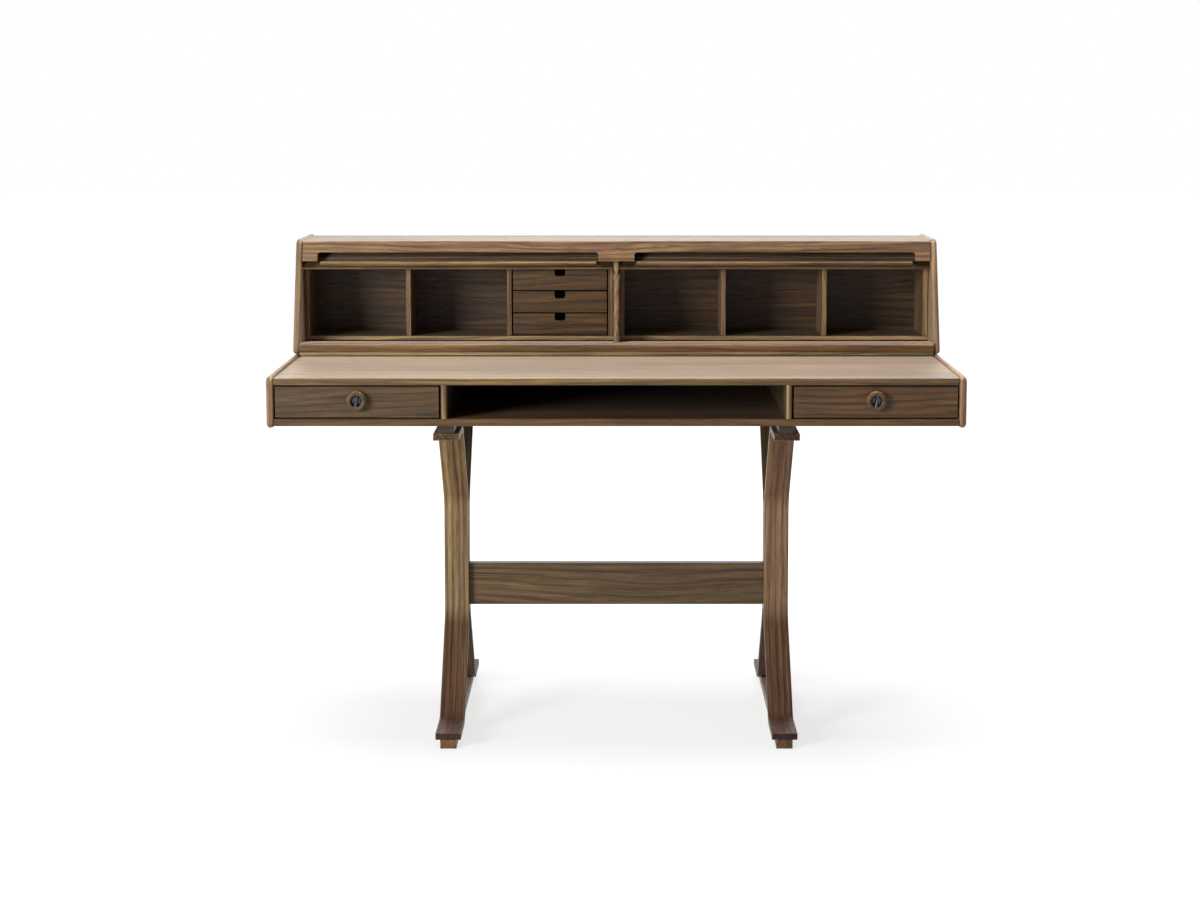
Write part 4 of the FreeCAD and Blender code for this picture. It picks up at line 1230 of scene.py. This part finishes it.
@dataclass(frozen=True)
class Knob:
    """Turned walnut ring with a dished steel cup and a finger fin.

    Attributes:
        hand: Side of the desk.
        ring: Outer radius in millimetres.
        hollow: Radius of the hollow.
        proud: How far the rim stands out.
        deep: Depth of the hollow.
        waist: How much narrower the ring's foot is.
        rim: Round of the ring's rim.
        lip: Round of the hollow's edge.
        wall: Thickness of the cup's wall.
        sunk: How far the cup's rim lies behind the ring's.
        dish: Round between the cup's wall and its floor.
        fin_thick: Thickness of the fin.
        fin_tilt: Lean of the fin to the right in degrees.
        fin_foot: How far its lower end is let into the ring.
    """

    hand: Hand
    ring: float = 19.75
    hollow: float = 11.5
    proud: float = 17.0
    deep: float = 10.0
    waist: float = 2.5
    rim: float = 4.0
    lip: float = 1.2
    wall: float = 1.0
    sunk: float = 2.0
    dish: float = 4.0
    fin_thick: float = 5.2
    fin_tilt: float = 8.0
    fin_foot: float = 4.8

    BELLY = 4.5                          # mm, half height of the ring's foot round
    ROLL = (0.48, 0.4)                   # mm, half-axes of the cup's rolled rim
    FOOT_WIDE, HEAD_WIDE = 1.3, 0.75     # shares of the fin's thickness at its ends
    FIN_PROUD = 0.45                     # mm past the ring's rim
    FIN_CLEAR = 1.0                      # mm in front of the hollow's floor
    FIN_GAP = 0.1                        # mm between its upper end and the ring
    FIN_CORNER, FIN_EASE = 3.6, 1.6      # mm, rounds of its two outer corners and of its edges

    def build(self) -> None:
        """Make the wooden ring, the cup and the fin."""
        node, pull = f"drawer_{self.hand}_knob", f"drawer_{self.hand}_pull"
        low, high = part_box(node)
        face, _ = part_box(f"drawer_{self.hand}_front")
        centre = Vector(((low.x + high.x) / 2, face.y, (low.z + high.z) / 2))
        wood = Turning(f"turned_{node}", self._wood_profile()).build(centre)
        Bench.sign_off(wood, "walnut_turned", node, (node,))
        cup = Turning(f"cup_{pull}", self._cup_profile()).build(centre)
        Bench.sign_off(cup, "burnished_cup", pull, (pull,))
        fin = self._fin(f"fin_{pull}", centre)
        Bench.sign_off(fin, "polished_fin", pull)

    def _wood_profile(self) -> Profile:
        """Draw the ring's half-section: a slight waist, a full belly and a soft rim.

        Returns:
            The profile.
        """
        foot = self.ring - self.waist
        return (
            (foot, 0.0),
            *quarter(foot, self.BELLY, self.waist, self.BELLY, -90, 5),
            *quarter(self.ring - self.rim, self.proud - self.rim, self.rim, self.rim, 0, 7),
            *quarter(self.hollow + self.lip, self.proud - self.lip, self.lip, self.lip, 90, 4),
            (self.hollow, self.proud - self.deep),
        )

    def _cup_profile(self) -> Profile:
        """Draw the cup's half-section: thin wall, rolled rim and a dished floor.

        Returns:
            The profile, a hair inside the ring's hollow.
        """
        floor = self.proud - self.deep
        rim = self.proud - self.sunk - self.ROLL[1]
        inner = self.hollow - self.wall
        outer = self.hollow - 0.02
        bottom = floor + self.dish + 1.0
        dish = quarter(inner - self.dish, bottom, self.dish, self.dish, 0, 6)
        return (
            (outer, floor + 0.02),
            (outer, rim),
            *quarter(self.hollow - self.wall / 2, rim, *self.ROLL, 0, 3),
            (inner, rim),
            *((radius, 2 * bottom - out) for radius, out in dish),
            (inner - 7.0, floor + 0.8),
        )

    def _fin(self, name: str, centre: Vector) -> Piece:
        """Shape the fin: a leaf across the hollow, whose wider foot is let into the ring.

        Args:
            name: The piece's name.
            centre: Where the knob's axis meets the drawer's face.

        Returns:
            The fin.
        """
        half = self.fin_thick / 2 * MM
        front = -(self.proud + self.FIN_PROUD) * MM
        rear = -(self.proud - self.deep + self.FIN_CLEAR) * MM
        low = centre + Vector((-half, front, -(self.hollow + self.fin_foot) * MM))
        high = centre + Vector((half, rear, (self.hollow - self.FIN_GAP) * MM))
        fin = Bench.block(name, low, high)
        for end, share in ((low.z, self.FOOT_WIDE), (high.z, self.HEAD_WIDE)):
            Bench.pick(fin, "FACE", lambda ends: all(abs(at.z - end) < NEAR for at in ends))
            bpy.ops.transform.resize(value=(share, 1, 1), center_override=centre)
        Bench.pick(fin, "EDGE", lambda ends: all(end.y < low.y + NEAR for end in ends)
                   and abs(ends[0].x - ends[1].x) > NEAR)
        bpy.ops.mesh.bevel(offset=self.FIN_CORNER * MM, segments=8, affect="EDGES")
        bpy.ops.mesh.select_all(action="SELECT")
        bpy.ops.transform.rotate(
            value=math.radians(-self.fin_tilt), orient_axis="Y", orient_type="GLOBAL",
            center_override=centre)
        bpy.ops.object.mode_set(mode="OBJECT")
        Bench.ease(fin, self.FIN_EASE, segments=4, angle=50)
        return fin


# ------------------------------------------------------------------ fasteners
class Recess(Enum):
    """Shapes of the recess that a driver turns."""

    HEXAGON = "hexagon"
    CROSS = "cross"


@dataclass(frozen=True)
class Fasteners:
    """Round heads let in flush, each with a recess for its driver.

    Attributes:
        node: The frame's node that holds all of them.
        radius: Radius of a head in millimetres.
        tall: Height of a head.
        recess: Shape of the recess.
        recess_reach: From the recess's middle to its farthest corner.
        recess_deep: Its depth.
        places: Middle of each head's face in metres, and the unit vector out of it.
        chamfer: Bevel round the head's face.
    """

    node: str
    radius: float
    tall: float
    recess: Recess
    recess_reach: float
    recess_deep: float
    places: tuple[tuple[Triple, Triple], ...]
    chamfer: float = 0.4

    ARM = 0.3                    # half width of a cross's arm, as a share of its reach

    def build(self) -> None:
        """Make one head and lay its copies in place."""
        pattern = self._head()
        for place, facing in self.places:
            mesh = pattern.data.copy()
            head = bpy.data.objects.new(f"{self.recess.value}_head", mesh)
            bpy.context.scene.collection.objects.link(head)
            turn = Vector((0, 0, 1)).rotation_difference(Vector(facing))
            mesh.transform(Matrix.Translation(place) @ turn.to_matrix().to_4x4())
            Bench.sign_off(head, "blackened_screw", self.node, (self.node,))
        bpy.data.objects.remove(pattern)

    def _head(self) -> Piece:
        """Shape a head that faces up, from its recess outwards.

        Returns:
            The head, with the middle of its face at the origin.
        """
        Bench.clear()
        if self.recess is Recess.HEXAGON:
            bpy.ops.mesh.primitive_circle_add(
                vertices=6, radius=self.recess_reach * MM, fill_type="NGON")
            bpy.ops.object.mode_set(mode="EDIT")
        else:
            arm = self.recess_reach * self.ARM * MM
            bpy.ops.mesh.primitive_plane_add(size=2 * arm)
            bpy.ops.object.mode_set(mode="EDIT")
            self._push_arms(bpy.context.active_object, arm)
        head = bpy.context.active_object
        bpy.ops.mesh.select_mode(type="EDGE")
        bpy.ops.mesh.select_all(action="SELECT")
        bpy.ops.mesh.region_to_loop()
        bpy.ops.mesh.subdivide(number_cuts=3)
        bpy.ops.mesh.extrude_region_move()
        bpy.ops.transform.tosphere(value=1.0)
        self._spread(head, self.radius - self.chamfer, 0.0)
        bpy.ops.mesh.extrude_region_move()
        self._spread(head, self.radius, -self.chamfer)
        bpy.ops.mesh.extrude_region_move(
            TRANSFORM_OT_translate={"value": (0, 0, (self.chamfer - self.tall) * MM)})
        bpy.ops.mesh.edge_face_add()
        reach = self.recess_reach * MM + NEAR / 2
        Bench.pick(head, "FACE", lambda corners: all(
            corner.length < reach and corner.z > -HAIR for corner in corners))
        bpy.ops.mesh.extrude_region_move(
            TRANSFORM_OT_translate={"value": (0, 0, -self.recess_deep * MM)})
        bpy.ops.object.mode_set(mode="OBJECT")
        Bench.smooth(head)
        return head

    def _push_arms(self, cross: Piece, arm: float) -> None:
        """Draw the four sides of a small square out into a cross.

        Args:
            cross: The square, in edit mode.
            arm: Half of its side.
        """
        for x, y in ((1, 0), (-1, 0), (0, 1), (0, -1)):
            way = Vector((x, y, 0))
            Bench.pick(cross, "EDGE", lambda ends, way=way: all(
                abs(end.dot(way) - arm) < HAIR for end in ends))
            bpy.ops.mesh.extrude_region_move(
                TRANSFORM_OT_translate={"value": way * (self.recess_reach * MM - arm)})

    @staticmethod
    def _spread(head: Piece, radius: float, rise: float) -> None:
        """Scale the selected loop to a radius and move it up or down.

        Args:
            head: The head, in edit mode.
            radius: The loop's new radius in millimetres.
            rise: How far it moves up.
        """
        mesh = bmesh.from_edit_mesh(head.data)
        now = max(vertex.co.xy.length for vertex in mesh.verts if vertex.select)
        share = radius * MM / now
        bpy.ops.transform.resize(value=(share, share, 1), center_override=(0, 0, 0))
        bpy.ops.transform.translate(value=(0, 0, rise * MM))


# ------------------------------------------------------------------ carried-over nodes
@dataclass(frozen=True)
class CarriedOver:
    """Frame nodes whose shape is right as it is, and that only get their finish.

    Attributes:
        finish: Name of their finish.
        nodes: The frame's nodes.
    """

    finish: str
    nodes: tuple[str, ...]

    def build(self) -> None:
        """Dress the nodes."""
        for node in self.nodes:
            FinishBook.dress(frame["nodes"][node], self.finish)
            log.info("%s keeps its shape", node)


# ------------------------------------------------------------------ studio
@dataclass(frozen=True)
class Lamp:
    """A soft rectangular studio lamp.

    Attributes:
        name: The lamp's name.
        place: Where it hangs, in metres.
        aim: The point that it faces.
        size: Its width and height in metres.
        power: Its power in watts.
    """

    name: str
    place: Triple
    aim: Triple
    size: tuple[float, float]
    power: float

    def build(self) -> None:
        """Hang the lamp."""
        light = bpy.data.lights.new(self.name, "AREA")
        light.shape = "RECTANGLE"
        light.size, light.size_y = self.size
        light.energy = self.power
        lamp = bpy.data.objects.new(self.name, light)
        lamp.location = self.place
        lamp.rotation_mode = "QUATERNION"
        away = Vector(self.aim) - Vector(self.place)
        lamp.rotation_quaternion = away.to_track_quat("-Z", "Y")
        lamp.visible_camera = False
        bpy.context.scene.collection.objects.link(lamp)


@dataclass(frozen=True)
class Studio:
    """White studio with a soft key from the left, a top light and a slightly lowered gaze.

    Attributes:
        lens: Focal length in millimetres.
        height: Height of the camera in metres.
        distance: Distance from the middle of the desk in metres.
        pitch: How far the camera looks down in degrees.
        shift: Shift of the frame across and up.
        fill: Strength of the light from all round.
        lamps: The lamps.
    """

    lens: float = 71.783
    height: float = 1.3222
    distance: float = 5.0812
    pitch: float = 6.131
    shift: tuple[float, float] = (-0.0137, -0.08)
    fill: float = 0.07
    lamps: tuple[Lamp, ...] = (
        Lamp("key", (-3.6, -3.9, 1.65), (0.0, 0.0, 0.65), (1.8, 1.8), 245.0),
        Lamp("top", (0.0, 0.3, 3.2), (0.0, 0.0, 0.0), (3.2, 2.2), 120.0),
        Lamp("back", (0.0, 3.6, 2.9), (0.0, 0.0, 0.5), (3.2, 1.2), 45.0),
    )

    WHITE = linear("#ffffff")
    # light of the backdrop, by how far a ray points to the back
    BACKDROP = {"interpolation_type": "SMOOTHSTEP", "From Min": -0.5, "From Max": 0.1,
                "To Min": 0.3, "To Max": 1.0}
    # glow of the floor, by the distance from the desk's middle in metres; the lower glow near the desk paints
    # shade round it
    FLOOR_FADE = {"interpolation_type": "SMOOTHSTEP", "From Min": 0.6, "From Max": 2.2,
                  "To Min": 0.74, "To Max": 0.98}

    def build(self) -> None:
        """Set up camera, lamps, world and floor."""
        for lamp in self.lamps:
            lamp.build()
        self._world()
        self._floor()
        self._camera()
        bpy.context.scene.view_settings.view_transform = "Standard"

    def _camera(self) -> None:
        """Place the camera in front of the desk."""
        lens = bpy.data.cameras.new("camera")
        lens.lens = self.lens
        lens.sensor_width = 36.0
        lens.shift_x, lens.shift_y = self.shift
        lens.clip_end = 100.0
        camera = bpy.data.objects.new("camera", lens)
        camera.location = (0.0, -self.distance, self.height)
        camera.rotation_euler = (math.radians(90 - self.pitch), 0, 0)
        bpy.context.scene.collection.objects.link(camera)
        bpy.context.scene.camera = camera

    @staticmethod
    def _seen(tree: Tree) -> Source:
        """Mark the rays that show the backdrop.

        Args:
            tree: The world's or the floor's tree.

        Returns:
            1 for camera, glossy and transmission rays.
        """
        path = add(tree, "LightPath").outputs
        gloss = add(tree, "Math", {"operation": "MAXIMUM",
                                   0: path["Is Camera Ray"], 1: path["Is Glossy Ray"]})
        return add(tree, "Math", {"operation": "MAXIMUM",
                                  0: gloss, 1: path["Is Transmission Ray"]})

    def _world(self) -> None:
        """Fill light all round, with a white backdrop behind the desk where it is seen.

        A glossy surface sees the white backdrop behind and the dimmer room in front.
        """
        world = bpy.data.worlds.new("studio")
        bpy.context.scene.world = world
        world.use_nodes = True
        tree = world.node_tree
        tree.nodes.clear()
        fill = add(tree, "Background", {"Color": self.WHITE, "Strength": self.fill})
        toward = add(tree, "SeparateXYZ", {0: add(tree, "TexCoord").outputs["Generated"]})
        backdrop = add(tree, "MapRange", self.BACKDROP | {"Value": toward.outputs["Y"]})
        level = add(tree, "Math", {
            "operation": "MAXIMUM", 0: backdrop,
            1: add(tree, "LightPath").outputs["Is Camera Ray"]})
        white = add(tree, "Background", {"Color": self.WHITE, "Strength": level})
        mix = add(tree, "MixShader", {0: self._seen(tree), 1: fill, 2: white})
        add(tree, "OutputWorld", {"Surface": mix})

    def _floor(self) -> None:
        """Lay a white floor that keeps the desk's shadow, with painted shade round the desk, and fades to the
        backdrop.
        """
        Bench.clear()
        bpy.ops.mesh.primitive_plane_add(size=60)
        floor = bpy.context.active_object
        floor.name = "studio_floor"
        material, tree = blank_material("white_floor")
        paint = add(tree, "BsdfDiffuse", {"Color": linear("#a0a0a0")})
        # the floor glows where it is seen, less near the desk, which paints a soft shade round it
        away = add(tree, "VectorMath", {"operation": "LENGTH",
                                        0: add(tree, "TexCoord").outputs["Object"]})
        glow_and_painted_shade = add(tree, "MapRange", self.FLOOR_FADE | {"Value": away})
        glow = add(tree, "Math", {"operation": "MULTIPLY", 0: glow_and_painted_shade, 1: self._seen(tree)})
        light = add(tree, "Emission", {"Color": self.WHITE, "Strength": glow})
        add(tree, "OutputMaterial", {"Surface": add(tree, "AddShader", {0: paint, 1: light})})
        floor.data.materials.append(material)


# ------------------------------------------------------------------ the desk
class Maker(Protocol):
    """Anything that makes its own pieces."""

    def build(self) -> None:
        """Make the pieces, dress them and sign them off."""


def both(pattern: str) -> tuple[str, ...]:
    """Fill {} in a name with left and right."""
    return tuple(pattern.format(hand) for hand in Hand)


def case_pieces() -> list[Maker]:
    """List the case's boards and drawers.

    Returns:
        Their makers, in building order.
    """
    return [
        EasedBoards("walnut_writing_top", ("case_top",), 0.8),
        EasedBoards("walnut_case_floor", ("case_bottom",), 0.8),
        EasedBoards("walnut_cheek", both("case_divider_{}"), 0.6, nose=4.5),
        EasedBoards("walnut_back_painted_shade", ("case_back",), 0.6),
        CarriedOver("walnut_runner", ("drawer_runners",)),
        SidePanels("case_side", "walnut_case_side"),
        EasedBoards("walnut_drawer_left", ("drawer_left_front",), 0.6),
        EasedBoards("walnut_drawer_right", ("drawer_right_front",), 0.6),
        EasedBoards("walnut_drawer_side", both("drawer_{}_box"), 0.6),
        *(Knob(hand) for hand in Hand),
    ]


def hutch_pieces() -> list[Maker]:
    """List the hutch's boards, small drawers and shutters.

    Returns:
        Their makers, in building order.
    """
    dividers = both("divider_{}_inner") + both("divider_{}_outer")
    fronts, trays = (
        tuple(f"small_drawer_{level}_{part}" for level in ("top", "middle", "bottom"))
        for part in ("front", "tray"))
    return [
        SidePanels("hutch_side", "walnut_hutch_side", lean=82.0, track=Track()),
        EasedBoards("walnut_hutch_top", ("hutch_top",), 0.6),
        EasedBoards("walnut_fascia", ("hutch_fascia",), 0.8),
        EasedBoards("walnut_nosing", ("hutch_nosing",), 0.6),
        EasedBoards("walnut_base_strip", ("hutch_base",), 0.6),
        EasedBoards("walnut_inside", ("hutch_floor", "hutch_ceiling"), 0.6),
        EasedBoards("walnut_back_painted_shade", ("hutch_back", "compartment_back"), 0.6),
        EasedBoards("walnut_partition", ("hutch_partition",), 0.4),
        EasedBoards("walnut_upright", ("compartment_liners", *dividers), 0.8),
        CarriedOver("walnut_runner", ("hutch_spacers",)),
        EasedBoards("walnut_small_drawer", fronts, 0.5),
        EasedBoards("walnut_drawer_side", trays, 0.4),
        EasedBoards("walnut_slat", both("tambour_{}_slats"), 0.25),
        EasedBoards("walnut_rail_painted_shade", both("tambour_{}_rail"), 0.6),
        EasedBoards("walnut_batten", both("tambour_{}_handle"), 0.5),
        CarriedOver("cotton_duck", both("tambour_{}_canvas")),
    ]


def trestle_pieces() -> list[Maker]:
    """List the trestles' legs, rails and fasteners.

    Returns:
        Their makers, in building order.
    """
    pieces = []
    for hand in Hand:
        leg = f"trestle_{hand}_leg"
        pieces.append(BentLeg(leg + "_front", f"walnut_bent_{hand}"))
        pieces.append(BentLeg(leg + "_back", "walnut_bent_rear_painted_shade"))
    return pieces + [
        EasedBoards("walnut_core", both("trestle_{}_core"), 0.8),
        EasedBoards("walnut_runner", both("trestle_{}_floor_runner"), 1.0),
        EasedBoards("walnut_head_rail_painted_shade", both("trestle_{}_head_rail"), 1.0),
        EasedBoards("walnut_stretcher", ("stretcher",), 0.6),
        stretcher_bolts(),
        trestle_screws(),
    ]


def stretcher_bolts() -> Fasteners:
    """Lay out the bolts that come through the trestles into the stretcher.

    Returns:
        Two bolts on each side, whose heads look outwards.
    """
    radius = 7.5
    low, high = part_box("stretcher_bolts")
    middle = (low.y + high.y) / 2
    heights = (low.z + radius * MM, high.z - radius * MM)
    places = tuple(((x, middle, z), (math.copysign(1, x), 0, 0))
                   for x in (low.x, high.x) for z in heights)
    return Fasteners("stretcher_bolts", radius, tall=6.0, recess=Recess.HEXAGON,
                     recess_reach=3.6, recess_deep=3.5, places=places)


def trestle_screws() -> Fasteners:
    """Lay out the screws under the floor runners and under the legs' heads.

    Returns:
        Six screws on each trestle, whose heads look down.
    """
    radius, leg_thick = 5.0, 14.0
    low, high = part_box("trestle_screws")
    middle = (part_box("trestle_left_core")[0].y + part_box("trestle_left_core")[1].y) / 2
    under_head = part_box("trestle_left_leg_front")[1].z - leg_thick * MM
    # millimetres in front of and behind the trestle's middle, and the height of the head's face
    spots = ((262, low.z), (290, under_head), (235, under_head))
    places = tuple(((x, middle + way * reach * MM, z), (0, 0, -1))
                   for x in (low.x + radius * MM, high.x - radius * MM)
                   for way in (-1, 1) for reach, z in spots)
    return Fasteners("trestle_screws", radius, tall=2.6, recess=Recess.CROSS,
                     recess_reach=2.6, recess_deep=1.6, places=places)


def main() -> None:
    """Build the desk's looks, sub-assembly by sub-assembly."""
    logging.basicConfig(level=logging.INFO, format="%(name)s: %(message)s")
    FinishBook.fill()
    for title, pieces in (
        ("case", case_pieces()), ("hutch", hutch_pieces()), ("trestles", trestle_pieces()),
    ):
        for piece in pieces:
            piece.build()
        log.info("%s done", title)
    Studio().build()


if __name__ == "__main__":
    main()
